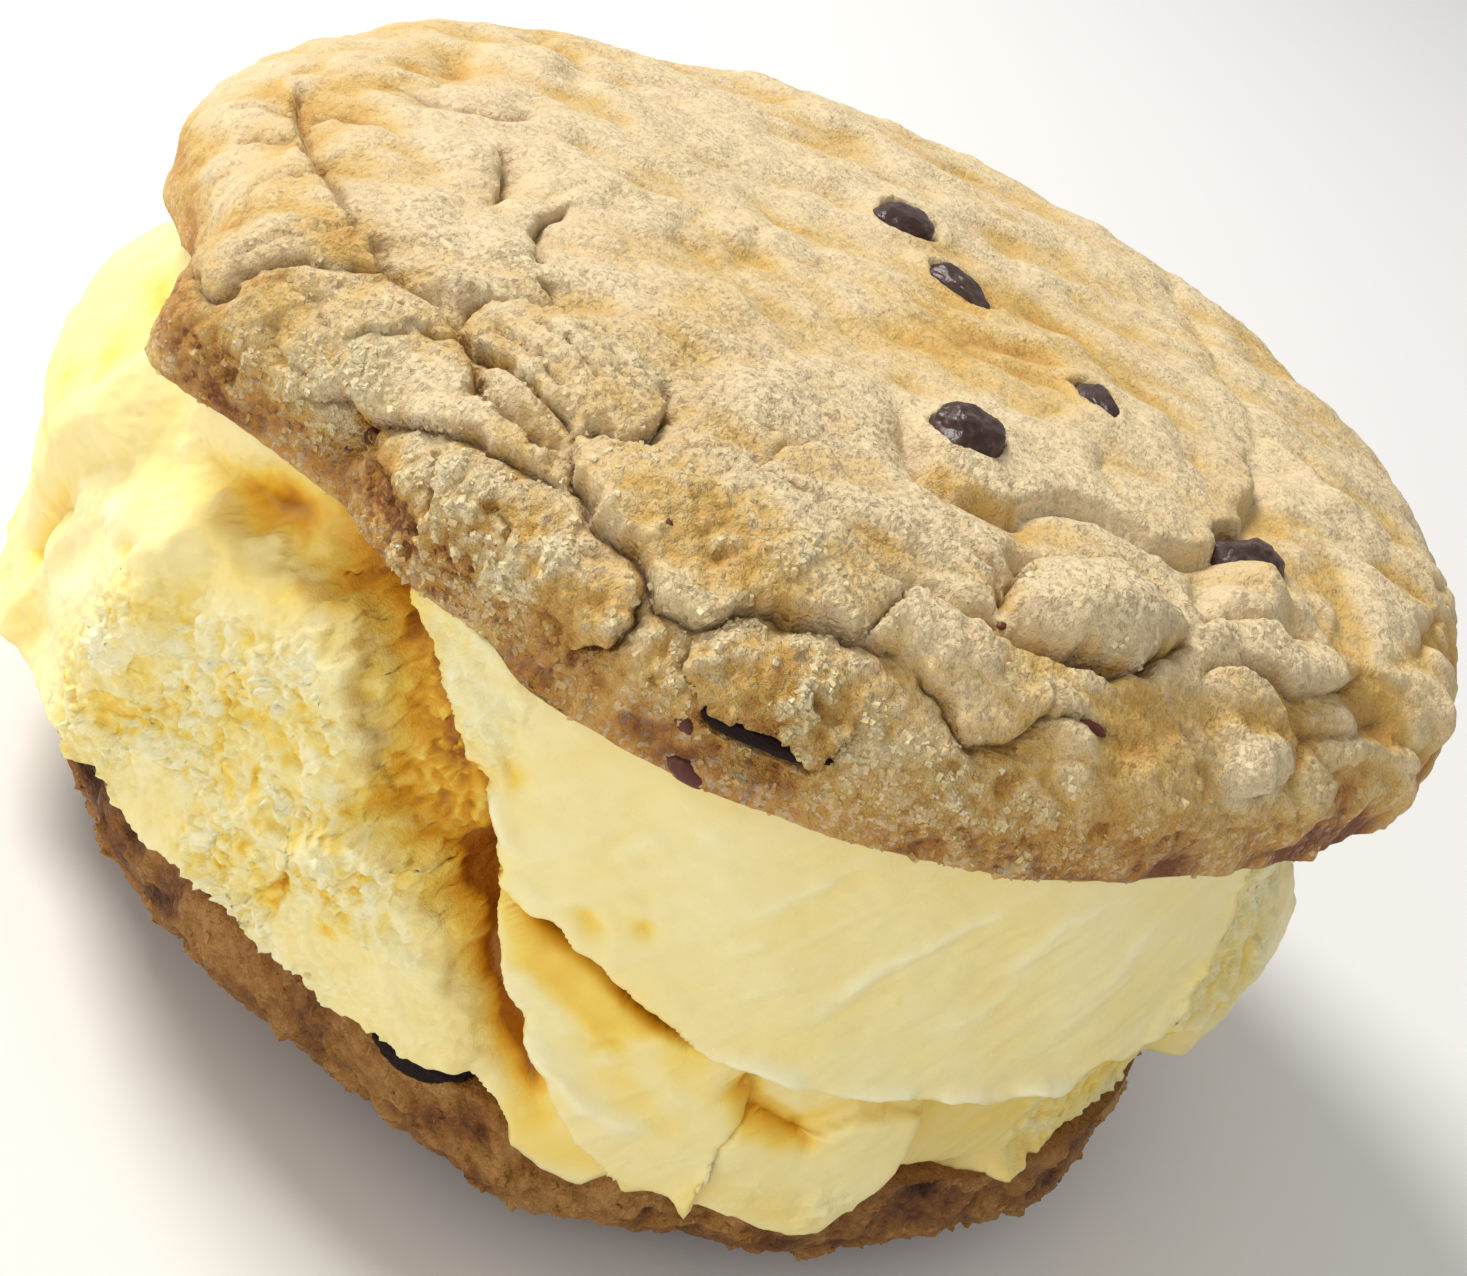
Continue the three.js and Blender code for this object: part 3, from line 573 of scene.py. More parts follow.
# Cracks on the dome rolled out flat, X right and Y back: width, depth, step and path. A step above 0
# raises the left side of the way the path runs, one below 0 the right side.
topCracks = [
    (1.1, 1.1, -0.25, [(-39.6, -6.3), (-38.4, -10.2), (-38, -13.8), (-36.9, -17), (-34.4, -20.5),
        (-30.4, -22.1), (-27.7, -23.5), (-26, -25.2)]),
    (1.3, 1.7, -0.8, [(-27, -24.2), (-25.9, -25.8), (-25.7, -28.6), (-25.2, -29.2)]),
    (1.1, 1.1, 0, [(-38.4, -27.5), (-35.6, -29.4), (-33.7, -31.4), (-32.2, -30.7), (-30.7, -29.7),
        (-29.4, -28.8), (-27.5, -29.2), (-25.7, -28.7)]),
    (1, 1.3, -0.6, [(-25.9, -28.6), (-24.5, -29.6), (-23, -30.7), (-21.8, -32.3), (-20.3, -34.3),
        (-19.4, -35.6), (-17.4, -36.6), (-15, -37.2), (-13.2, -38.1), (-11.9, -37.2)]),
    (0.9, 1.3, -0.35, [(-22, -31.6), (-21.7, -29.6), (-19.6, -28.1), (-17.3, -27.4), (-13.6, -28.4),
        (-10.5, -29.5), (-8.6, -30.8), (-7.8, -31.6)]),
    (1, 1.7, -0.2, [(-8.1, -31.1), (-7.8, -31.8), (-7.9, -33.3), (-8.6, -35.1), (-10, -36.1),
        (-11.8, -36.8)]),
    (0.8, 1.1, -0.5, [(-11.8, -36.7), (-12.4, -35.9), (-14, -35), (-16.5, -34.2), (-19, -33.7),
        (-20.4, -32.8), (-21.9, -31.6)]),
    (0.9, 1.2, 0.5, [(-29.6, -38.4), (-27.6, -38), (-25.6, -38.4), (-25.2, -39.8), (-23.4, -39.1),
        (-20, -39.9), (-16.6, -39.4), (-13, -40.1), (-10.6, -41)]),
    (1.2, 1.7, 0.9, [(-12, -36.8), (-12.1, -38), (-11, -39.4), (-9.5, -40.6), (-7.3, -41.1), (-5.4, -41.4),
        (-4.4, -42.6), (-3.2, -43.5), (-1.5, -43.4), (0, -42.6), (1, -41.4), (2.7, -41.1), (5.5, -40.4),
        (6.7, -39.9), (8.2, -39.8), (9.6, -39.6)]),
    (0.9, 1.7, -0.5, [(-4.2, -43.3), (-4.4, -45), (-5, -46.3), (-6, -47.2), (-7.3, -48.2)]),
    (1, 1.1, -0.6, [(-11.8, -36.7), (-9.3, -35.8), (-6.2, -34.8), (-4.6, -33.8), (-2.2, -33.2), (1, -33.6),
        (4, -34.5), (6.2, -35.4)]),
    (1.4, 1.5, -0.4, [(4, -34.5), (6.2, -35.2), (8.5, -35.1), (11, -35.3), (13.5, -35.2), (16, -34.9),
        (18.5, -34.2), (20.5, -32.8), (22.3, -30.6), (22.8, -28.6)]),
    (0.7, 1.1, 0.2, [(8.5, -35.4), (8.3, -36.2), (7.2, -37.3), (6.7, -38.7), (6.3, -39.9)]),
    (0.9, 1, 0.6, [(9.5, -39.6), (11.5, -40.3), (13, -41.3), (15.3, -42), (16, -41.2), (17.3, -40.1),
        (18, -38.2), (17.3, -36.8)]),
    (0.6, 0.8, 1.3, [(-1.2, -44.2), (-0.4, -45.6), (0.8, -46.8), (2.2, -47.6), (4, -48), (5.9, -47.8),
        (7.3, -46.9), (8.1, -45.6), (8.5, -44.2)]),
    (0.9, 0.6, -0.4, [(-8.2, -31), (-6.8, -29.9), (-4.5, -29), (-2, -28.3), (0.3, -27.8), (3, -28.4)]),
    (0.7, 0.5, -0.4, [(-6.8, -33), (-5.8, -32.2), (-3.5, -31.8), (-1.9, -32.3)]),
    (0.8, 0.5, 0.2, [(0.2, -27.6), (-1.2, -29.8), (-1.9, -31.9), (-2.2, -33.2)]),
    (1.6, 1.2, 0.5, [(2.5, -17.8), (4.6, -21.4), (6.2, -24.7), (9, -25.2), (12, -24.6), (14.7, -21.4),
        (17.6, -20.7), (21.1, -20.6), (23.8, -19.4), (25.4, -16.5), (26.3, -11), (26.2, -5), (25.3, 0),
        (24.3, 3)]),
    (1.3, 0.7, -0.3, [(3.8, -24), (7.1, -27.6), (9.8, -29.8), (12.4, -31), (13.3, -33)]),
    (1.1, 1.1, -0.8, [(13.4, -34.4), (13.2, -31.5), (13.8, -29.1), (15.6, -27.7), (18, -26.6),
        (20.5, -25.8), (23.4, -25.7)]),
    (0.9, 1.2, -0.5, [(23.4, -25.7), (24.6, -27.5), (23.1, -29.7), (21.3, -31.8), (19, -33.4),
        (16.5, -34.5)]),
    (0.9, 0.7, -0.35, [(24.8, -25.7), (26.1, -23.7), (28.6, -21.5), (31.8, -19.3), (36.2, -16.3)]),
    (0.9, 0.9, 0.3, [(27.7, -25.6), (30.7, -24.4), (32.8, -24.1), (34.9, -21.2), (37.1, -16.5)]),
    (0.9, 0.7, -0.5, [(26.1, -28.7), (28.3, -26.1), (30.4, -25.7), (31.8, -26), (33.4, -26.8),
        (34.9, -27.8), (34.6, -30.4), (31.8, -33.5)]),
    (0.8, 0.7, -0.4, [(25.7, -32.9), (27.6, -33.8), (29.1, -35.3), (29.5, -37.1), (28.9, -38.7)]),
    (0.9, 0.7, 0, [(34.5, -26.4), (37.1, -22.5), (39.8, -17.3)]),
    (2.4, 0.7, 0, [(17, 32), (21.8, 16), (24, 9.6), (25.7, 4.8), (26.2, -2.5)]),
    (0.5, 0.8, 0.1, [(17.4, -38.2), (18.4, -37.7), (20, -37), (22.2, -36.5)]),
    (0.7, 0.7, 0, [(-41.1, -15.8), (-39.8, -15.3), (-37.8, -16.2)]),
    (0.7, 0.6, 0, [(-42.1, -10.5), (-39.9, -11.6), (-38.4, -11)]),
    (0.8, 1, 0, [(-37.8, -11), (-35.7, -10.4), (-33.1, -11.1)]),
    (0.7, 0.5, 0, [(-33.1, -27.5), (-37.4, -23.2), (-36.8, -21.5), (-34, -21.1)]),
    (0.7, 0.5, 0, [(-32.2, -29), (-30.5, -27.5), (-28.7, -25.7), (-26.9, -24.3)]),
    (1.1, 0.8, 0, [(-33.9, -3.9), (-31.1, -5.1), (-28.8, -5.3), (-26.7, -4.4), (-24.7, -1.3)]),
    (0.9, 1, -0.3, [(-25.9, -9.5), (-25.4, -13.2), (-24.1, -15.5), (-22.4, -16.6)]),
    (0.7, 1.5, -0.2, [(-19.4, -13.6), (-19, -18.9), (-19.1, -22.4)]),
    (0.7, 1.2, -0.2, [(-18.5, -24.3), (-18, -26), (-17.1, -27.3)]),
    (0.6, 0.5, 0, [(-30.1, -30.3), (-28.4, -31.8), (-27.5, -34.9)]),
    (0.6, 0.5, 0.2, [(-26.4, -34.4), (-24.6, -33.9), (-21.7, -33.4)]),
    (0.6, 0.5, 0, [(-30.6, -33), (-29.6, -35.4), (-28.4, -37)]),
    (0.5, 0.6, 0.15, [(-20.2, -30.6), (-18, -32.2), (-15.8, -33.2), (-13.5, -34.3)]),
    (0.5, 0.5, 0.15, [(-17.6, -30.2), (-14.6, -31.6), (-11.8, -33)]),
    (0.5, 0.4, 0.1, [(-15.2, -29.4), (-12.4, -30.6), (-10, -32.2)]),
    (0.7, 1.2, 0.2, [(-18.9, -40.9), (-18.1, -42.2), (-18, -43.8)]),
    (0.6, 0.6, 0.2, [(-24.6, -41.6), (-22, -42.6), (-20.8, -44.4)]),
    (0.6, 0.5, 0.2, [(-14.6, -43), (-12.4, -44.2), (-11.6, -46.4)]),
]
# A swelling or a dent: place, height, half length, half width, turn in degrees.
topSwellings = [
    ((-36.5, -22), 1.1, 6.5, 4, -60), ((-28.5, -26.4), 0.7, 3, 2.4, -30), ((-26.5, -33), 0.9, 6, 3.6, -35),
    ((-14.8, -31.6), 0.8, 5.4, 2.7, -22), ((-16.2, -35.6), 0.8, 3.4, 1, -14),
    ((-23.6, -27.4), 0.5, 1.2, 1.6, 0), ((-15, -44.5), 0.9, 8, 4, -12), ((-1.5, -37.4), 0.7, 8.5, 2.6, 3),
    ((3.9, -44.4), 1.5, 4, 2.8, 0), ((18.5, -30.2), 1.5, 5, 3, 38), ((12.8, -37.4), 0.8, 5, 1.8, 0),
    ((28.3, -17.3), 1.9, 2.4, 2.2, 60), ((14, -8), 0.7, 10, 10, 0), ((3, -30.5), 0.5, 7, 2.6, -8),
    ((41, -8), 0.7, 5, 18, 0), ((31, -28.5), 0.7, 3.4, 2.6, 30), ((24, -38.5), 0.7, 5, 3.4, 20),
    ((33.5, -20.8), 0.5, 5, 1.6, 48), ((36, 20), 0.4, 5, 14, 30), ((-20, 34), 0.5, 12, 6, 30),
    ((-31, -15), 0.5, 6, 4, -40),
]
topDents = [
    ((-32, 4.5), 1.3, 1.4, 4, 12), ((-25.6, 10.8), 1.1, 1.3, 4, 14), ((-22.3, 13.2), 0.8, 2.4, 2, 0),
    ((-38.2, -11.2), 0.9, 1.6, 1.4, 0), ((-25, -13), 1, 1.4, 2.6, 10), ((-25.4, 1), 0.8, 2.4, 2, 0),
    ((-26.4, -40.2), 1.9, 1.5, 1.2, 20), ((13.8, -28.2), 1.7, 1.5, 0.9, 20),
    ((-4.6, -50.2), 1, 1.2, 2.6, 0), ((-24, -30), 0.8, 1.6, 1.2, 0), ((25, -22), 1, 0.9, 2.2, 0),
    ((5, -48.6), 0.9, 3.6, 0.9, 4), ((-27.8, -41.2), 0.9, 0.7, 0.7, 0), ((-26.8, -43.7), 1.1, 0.8, 0.7, 0),
    ((29.6, -16.6), 0.8, 0.6, 0.7, 0), ((-40, 26), 0.9, 1.4, 3, 20), ((26, 37), 0.8, 4, 2, -20),
]
# Where the crust broke into crumb: place, how much, half length, half width, turn in degrees.
topCrumb = [
    ((-15, -45), 1, 12, 5.5, -12), ((4, -45.5), 0.95, 9, 5, 0), ((-2, -38.5), 0.6, 9, 3.6, 0),
    ((-27, -38), 0.85, 5, 4, -30), ((-27, -32), 0.4, 6, 4, -30), ((17, -45), 0.7, 12, 5, 12),
    ((28, -40), 0.5, 9, 5, 38), ((-34, -35), 0.7, 5, 4, -40), ((14, -37.5), 0.3, 8, 2.6, 0),
]
# Where it baked darker or stayed paler; the stains on the dents, on the fold at (18, -20.9) and the
# broad one at (6, -4) are painted shade.
topStainsAndShade = [
    ((-31.8, 4.4), 0.42, 0.9, 3.6, 12), ((-25.4, 9.8), 0.36, 0.9, 3.4, 14),
    ((-22.3, 13.2), 0.26, 2.2, 2.2, 0), ((-38.2, -11.6), 0.36, 1, 1.8, 0),
    ((-34.8, -10.8), 0.34, 2.2, 0.8, 0), ((-27.4, -4.6), 0.24, 1.6, 1.2, 0), ((-25.2, 1), 0.26, 2, 0.9, 20),
    ((-25, -13.2), 0.2, 0.7, 2.4, 10), ((25, 37), 0.34, 4.4, 2.2, -20), ((22, 16), 0.26, 2.6, 4.4, 10),
    ((-39, 26), 0.36, 1.2, 2.4, 20), ((-35.5, 35), 0.3, 3.4, 1.1, 12), ((18, -20.9), 0.2, 2.4, 0.6, 0),
    ((-35, -34.5), 0.06, 4, 3.2, -45), ((-31.4, -30.3), 0.3, 1.6, 0.9, 30), ((38, -30), 0.1, 6, 3.4, 42),
    ((30, -37), 0.16, 3, 2, 30), ((-11, -50.5), 0.12, 9, 2, -6), ((2, -51.5), 0.14, 9, 3, 0),
    ((20, -49.5), 0.2, 12, 3, 14), ((43, -12), 0.08, 4, 10, 0), ((39, -27), 0.16, 6, 4, 50),
    ((31, -36), 0.14, 5, 3, 35), ((6, -4), 0.34, 15, 12, 20), ((-9.8, -19), 0.26, 4.4, 6, -20),
    ((-16, -11), -0.16, 7, 4, 0), ((-35.7, -22.8), 0.2, 5, 4, -60), ((-38.5, -3), -0.14, 3.4, 5, 0),
    ((24, 28), 0.1, 8, 8, 0), ((4, 22), 0.08, 2, 5, 0), ((14, 20), 0.08, 2, 6, 0),
    ((-10, -45), -0.08, 8, 4.4, -10), ((12, -45), 0.06, 10, 3.4, 0), ((-36, -8), 0.16, 6, 12, -15),
]
# Chocolate chips: place on the rolled-out dome, size, turn in degrees, sink under the crust, how far
# the crust's opening lies from the chip, and whether it lies in shade and takes the darker chocolate of
# painted shade.
topChips = [
    ((-1.2, 9.2), (5.4, 4.4, 3), 60, 0.45, (0.3, 0.4), False),
    ((3.9, 2), (6.2, 2.8, 2.6), -32, 0.5, (0.1, 0.5), False),
    ((7.9, -19.7), (4.8, 4.6, 3.6), 30, -0.25, (-0.1, 0.1), False),
    ((15, -7), (5.4, 2.6, 2.6), -62, 0.5, (-0.3, 0.2), False),
    ((27.2, -15), (5.6, 4.4, 3.6), 50, 0.9, (-0.7, 0.8), False),
    ((4.6, -47.2), (7.2, 1.7, 2.2), 4, 1.3, (0, -0.5), True),
    ((-15, 44.6), (5.4, 4.4, 4), 15, 1.1, (0, 0), False),
    ((33.4, 33.4), (5, 4, 3.6), -40, 1.1, (0, 0), False),
]
# Dark flakes of baked sugar and chocolate on the crust: place, size and turn.
topFlakes = [
    ((-4.8, -39.7), (1, 0.8, 0.5), 20), ((0.5, -48.7), (1.5, 0.9, 0.5), -50),
    ((1.9, -51.1), (2.4, 1.3, 0.6), -12), ((20.6, -37.1), (1.7, 0.7, 0.6), 12),
    ((13.5, -34.4), (0.7, 0.5, 0.4), 40), ((-27.6, -41), (0.9, 0.8, 0.8), 10),
    ((-26.7, -43.7), (1.2, 0.7, 0.6), -30), ((-25.9, -39.9), (0.8, 1.1, 0.7), 0),
]


def topBroad(x, y):
    # the large forms of the upper cookie, which its chips lie on
    lift = 0.30 * wobble(x, y, 6) + 0.22 * wobble(y + 40, x, 3.1) + humps(x, y, topSwellings)
    lift -= humps(x, y, topDents)
    return lift - topCookie["settled"] - topCookie["farSettled"] * ease(y, -12, 30)


crackCut = {
    "reach": 11,                      # mm that a crack acts over
    "endDepth": 0.15, "ends": 8,      # share of the depth left at its ends, and how short they are
    "wall": 0.45, "bankWidth": 0.35,  # slopes of its higher and its lower side
    "runOut": 4.5, "lipCut": 0.3,     # mm until the raised side is down again, and its rounded edge
    "lean": 0.75, "leanOver": 0.9,    # how far that side leans over, and over how many mm
    "softFrom": 1.75,                 # a crack this wide has no dark line and no broken edge
    "shadow": 0.9, "bankShadow": 0.25, "shadowWidth": 0.30, "brokenWidth": 0.6, "fullDepth": 1.1,
}
# The hollow a chip sits in: how ragged and how soft its rim is, its lip of crust and its depth.
pocket = {"ragged": 0.45, "soft": 0.16, "lip": 0.3, "lipWidth": 0.3, "lipAt": 1.12, "depth": 1.5}


def crackRelief(x, y, shaky):
    # how far cracks cut in, how dark their painted shadow is, how broken their walls are, and how far
    # the higher side leans over the crack, as (x, y)
    cut = crackCut
    lift, dark, broken = np.zeros((3, len(x)))
    lean = np.zeros((2, len(x)))
    for width, fullDepth, fullStep, path in topCracks:
        near = nearPath(x, y, path, cut["reach"])
        away, share, direction = pathPlace(x[near] + shaky[0][near], y[near] + shaky[1][near], path)
        fade = mix(cut["endDepth"], 1, smooth(np.minimum(share, 1 - share) * cut["ends"]))
        depth, step = fullDepth * fade, abs(fullStep) * fade
        rise = np.sign(fullStep) * away if fullStep else -np.abs(away)
        low, high = np.maximum(0, -rise), np.maximum(0, rise)
        overWall = smooth(high / (0.15 + cut["wall"] * width**1.6))
        bank = -depth * (0.5 * np.exp(-low / width) + 0.5 * np.exp(-low / (cut["bankWidth"] * width)))
        lip = step * np.exp(-high / cut["runOut"]) - cut["lipCut"] * depth * np.exp(-high / (0.45 * width))
        lift[near] += np.where(rise < 0, bank, mix(-depth, lip, overWall))
        sharp = ease(width, cut["softFrom"], -0.6)
        strong = np.minimum(1, depth / cut["fullDepth"]) * sharp
        shadow = cut["shadow"] * bell(away, cut["shadowWidth"] * width)
        shadow += cut["bankShadow"] * np.exp(-low / width) * (rise < 0)
        dark[near] = np.maximum(dark[near], strong * shadow)
        brokenHere = strong * np.exp(-np.abs(rise - 0.15) / cut["brokenWidth"])
        broken[near] = np.maximum(broken[near], brokenHere)
        over = cut["lean"] * step**0.5 * sharp * overWall * np.exp(-high / cut["leanOver"])
        lean[:, near] -= direction * over
    return lift, np.clip(dark, 0, 1), broken, lean


def chipPockets(x, y, lift, shaky):
    # hollows that the chips sit in, each with a low ragged lip of crust round it
    inside = np.zeros(len(x))
    x, y = x + pocket["ragged"] * shaky[0], y + pocket["ragged"] * shaky[1]
    for at, size, turn, sink, shift, _ in topChips:
        along, across = turnedAxes(x, y, np.add(at, shift), turn)
        away = np.hypot(along / (size[0] / 2), across / (size[1] / 2))
        within = ease(away, 1, -pocket["soft"])
        lift = lift + pocket["lip"] * bell(away - pocket["lipAt"], pocket["lipWidth"])
        lift = mix(lift, lift - sink - pocket["depth"], within)
        inside = np.maximum(inside, within)
    return lift, inside


def topRelief(angle, along, bare, outward):
    cookie = topCookie
    x, y = along * np.cos(angle), along * np.sin(angle)
    length = domeCurve(cookie)[0][-1]
    front = ease(y, -24, -10)
    shaky = [0.5 * noise(bare, 1.9, seed) + (0.2 + 0.8 * front) * 0.3 * noise(bare, 0.8, seed + 1)
             for seed in (1, 4)]
    cut, dark, broken, lean = crackRelief(x, y, shaky)
    crumb = np.max([amount * hump(x, y, at, *oval) for at, amount, *oval in topCrumb], axis=0)
    crumb = np.clip(np.maximum(crumb, broken * ease(y, -22, -8)), 0, 1)
    # gentle mounds and flowing creases of the skin, running with the front rim
    flowing = bare * np.array([0.5, 1, 1]) + 1.2 * noise(bare, 6, 7)[:, None]
    mounds = fractal(flowing, 4.2, 3, 8) + 0.5 * noise(bare, 2.2, 11)
    creases = ridges(flowing, 2.6, 12, 4) + 0.6 * ridges(flowing, 1.4, 13, 4) - 0.5
    creases *= 0.3 + 0.7 * smooth(0.5 + noise(bare, 9, 14))
    folded = 1 + cookie["rightFolds"] * ease(x, 24, 8) * ease(y, 10, -12)
    skin = (1 - crumb) * folded * (cookie["mounds"] * mounds - cookie["creases"] * creases)
    # crumb: packed lumps of several sizes with pits between
    warped = bare + 0.6 * noise(bare, 1.6, 16)[:, None]
    lumps = cookie["lumps"] * fractal(warped, 3.4, 4, 24, 0.62)
    lumps += cookie["grains"] * (grains(warped, 1.2, 18) - 0.5)
    holes = pits(warped, 2.7, 0.24, 0.14, 30) * smooth(0.5 + 1.5 * noise(bare, 4, 31))
    fine = cookie["crystals"] * peaks(bare, 0.62, 19) + cookie["dust"] * noise(bare, 0.5, 20) - 0.05
    texture = crumb * lumps - crumb * holes * cookie["holes"] + (0.25 + 0.75 * crumb) * fine
    lift, inside = chipPockets(x, y, topBroad(x, y) + cut + skin + texture, shaky)
    at, depth = cookie["notch"]
    behind = turnBetween(np.degrees(angle) % 360, at + 0.02 * shaky[0])
    lift -= depth * smooth(0.5 - behind / 0.9) * bell(np.minimum(0, behind), 9) * ease(along, 46, 2)
    lift *= 1 - 0.35 * ease(along, length - 1.5, 3)
    bake = cookie["baked"] + humps(x, y, topStainsAndShade) + 0.08 * noise(bare, 9, 33) + 0.05 * noise(bare, 3, 34)
    bake += cookie["outerBaked"] * ease(along, 30, 12) + cookie["rimBaked"] * ease(along, 43, 6)
    bake += cookie["edgeBaked"] * ease(along, length - 3.6, 5)
    bake += cookie["frontBaked"] * ease(y, -18, -8) - cookie["crumbPaler"] * crumb
    # painted shade: low places of the skin and crumb darker, high ones paler
    bake += np.clip(-(0.5 * skin + 0.25 * texture), -0.12, 0.2)
    high = np.clip(0.5 + (texture + 0.5 * skin) / 0.8, 0, 1)
    loose = ease(crumb, 0.2, 0.6) * ease(high, 0.25, 0.4) * (1 - inside) * (1 - dark)
    looks = {"bake": bake, "crumb": 0.1 + 0.9 * np.maximum(crumb, 0.38 * ease(y, -15, -12)),
             "high": high, "loose": loose * (1 - 0.8 * smooth(broken / 0.4)),
             # painted shade: cracks, the crumb's pits and the chips' hollows are darker
             "cavity": np.max([dark, holes * crumb * 0.6, inside * 0.85], axis=0)}
    # lean is in the rolled-out plane: turn it into steps along and round the dome
    cos, sin = np.cos(angle), np.sin(angle)
    level = np.hypot(outward[:, 0], outward[:, 1])
    down = vectors(outward[:, 2] * cos, outward[:, 2] * sin, -level)
    aside = vectors(-sin, cos, 0 * sin)
    shift = (lean[0] * cos + lean[1] * sin)[:, None] * down
    shift += (lean[1] * cos - lean[0] * sin)[:, None] * aside
    return bare + lift[:, None] * outward + shift, looks


# The lower cookie is built like the upper one and turned over.

bottomCookie = {
    "radius": 43, "thickness": 12, "edgeHeight": 4, "roundness": 4.4, "flatSpotDepth": 0.35,
    "centre": (0, 0), "base": 0, "turnedOver": True,
    "lobes": [(212, 0.6, 7), (198, -0.8, 9), (246, -1.9, 22), (306, -0.5, 16), (356, -0.7, 14),
              (80, -0.8, 30), (130, 0.7, 18)],
    "middleSpacing": 1.0, "rimSpacing": 0.34, "aroundSpacing": 0.40, "warp": 0.35, "denseAt": 258,
    "settled": 0.35, "lumps": 0.42, "grains": 0.24, "fineGrains": 0.12, "holes": 0.6,
    "baked": 0.34, "patchiness": 0.20, "hollowsShaded": 0.3, "crumb": 0.7,
}
# Chips in its upright edge: degrees and height above the ground, size, sink, and whether it lies in shade
# and takes the darker chocolate of painted shade.
edgeChips = [
    ((264.5, 12.1), (6.4, 2.8, 3.2), 1.1, True),
    ((72, 8.4), (6, 4.4, 3.6), 1.3, False),
]
# Painted shade that darkens it nearly to black: degrees, height above the ground, how much, half width and
# height.
bottomShade = [
    (205, 9, 0.6, 12, 6), (222, 9, 0.22, 5, 3), (236, 8, 0.18, 4, 3), (286, 4, 0.1, 8, 5),
    (300, 7, 0.15, 7, 6), (318, 7, 0.12, 7, 6), (262, 11, 0.3, 4, 2), (330, 8, 0.1, 6, 5),
]
# a darker copy of the dough: partly the cookie's own browner baking, partly painted shade for the shade it
# stands in
bottomLook = {
    **doughLook, "pale": (0.46, 0.23, 0.06), "golden": (0.33, 0.135, 0.022), "sugar": (0.52, 0.29, 0.09),
    "brown": (0.20, 0.072, 0.014), "dark": (0.07, 0.022, 0.006), "crack": (0.05, 0.017, 0.005),
}


def bottomRelief(angle, along, bare, outward):
    cookie = bottomCookie
    x, y = along * np.cos(angle), along * np.sin(angle)
    curve, share, _ = domeCurve(cookie)
    outer = ease(np.interp(along, curve, share), 0.66, 0.08)
    warped = bare + 0.8 * noise(bare, 3, 49)[:, None]
    texture = cookie["lumps"] * fractal(warped, 2.6, 4, 50, 0.55)
    texture += cookie["grains"] * (grains(warped, 1.5, 53) - 0.5)
    texture += cookie["fineGrains"] * (grains(bare, 0.7, 54) - 0.5)
    holes = pits(warped, 3.1, 0.3, 0.2, 57) * smooth(0.4 + 1.6 * noise(bare, 4, 58))
    texture -= cookie["holes"] * holes
    broad = 0.5 * wobble(x, y, 5) + 0.3 * wobble(y, x + 30, 2.7) - cookie["settled"]
    lift = outer * (broad + texture)
    degrees, height = np.degrees(angle) % 360, cookie["thickness"] - bare[:, 2]
    # painted shade from the table above, added to how baked it looks
    shadeDarkening = sum(amount * bell(turnBetween(degrees, at), halfWidth) * bell(height - level, halfHeight)
                 for at, level, amount, halfWidth, halfHeight in bottomShade)
    bake = cookie["baked"] + cookie["patchiness"] * fractal(bare, 6, 3, 61) + shadeDarkening
    # painted shade: the hollows of the relief darker
    bake += cookie["hollowsShaded"] * np.clip(-texture, -0.2, 0.6)
    looks = {"bake": bake, "crumb": np.full(len(bake), cookie["crumb"]),
             "high": np.clip(0.5 + texture / 0.9, 0, 1),
             # painted shade: the pits are darker
             "loose": outer * np.clip(0.3 + texture, 0, 1), "cavity": np.clip(holes * 0.7, 0, 1)}
    return bare + lift[:, None] * outward, looks


# Ice cream. Its side is rolled out flat: U right from the middle of the front, then height.

iceCream = {
    "radius": 44, "underEdge": 0.9, "shoulder": 6.5, "shoulderDepth": 13, "low": 12.0, "high": 43.2,
    "rows": 138,
    # its columns lie closest on the frosty ice: number of columns up to an angle in degrees
    "columns": [(0, -168), (80, -139), (290, -92), (480, -20), (690, 192)],
    # relief: frosty ice has flakes, crystals and creases over soft lumps, smooth ice scoop streaks
    "flakes": 0.42, "crystals": 0.75, "frostCreases": 0.4, "softLumps": 0.24, "streaks": 0.045,
    "frostCrumbs": 0.18, "backRelief": 0.9, "backLip": 1.2,
    # hollows take painted shade: how many cells round a spot it is compared with and over what depth it
    # darkens, then the radius behind which everything darkens and over what depth
    "hollows": [(12, 3), (4, 1.2)], "face": (43, 8), "hollowShade": 0.4, "formShade": 0.5,
    # how frosty it is beside the frosty patch
    "frostyRear": 0.5, "frostyValley": 0.7, "frostyLobes": 0.3, "frostyRight": 0.8, "frostyEdge": 0.6,
}
# Its lower lip hangs in front of the foot that it stands on: U with the lip's height, and U with the
# foot's radius.
lowerLip = [
    (-90, 14.5), (-70, 13), (-58, 11), (-54, 10.8), (-50, 11.5), (-43, 12.5), (-38, 13.5), (-33, 15.5),
    (-30.5, 16.2), (-29, 15), (-20, 16), (-19, 14.5), (-17, 13.8), (-8, 14.8), (-4, 15), (-1, 15.5),
    (1, 14), (3, 12), (5, 11), (8, 10.7), (9.5, 12.5), (10.5, 11.3), (13, 12.5), (15, 13), (18, 12),
    (22, 11.7), (23.5, 13.6), (25, 13.2), (40, 13), (62, 13), (72, 13.5), (90, 14.5),
]
footRadius = [
    (-90, 40.5), (-62, 41), (-58, 44), (-48, 44), (-43, 40), (-38, 38.5), (0, 38.5), (1.5, 40), (3, 43.7),
    (22, 43.7), (23.5, 40.5), (27, 40.1), (30, 39.6), (33, 40.2), (36.6, 41.5), (39, 42.8), (41, 42.4),
    (45, 41.3), (52, 40), (61, 40.8), (70, 40.5),
]
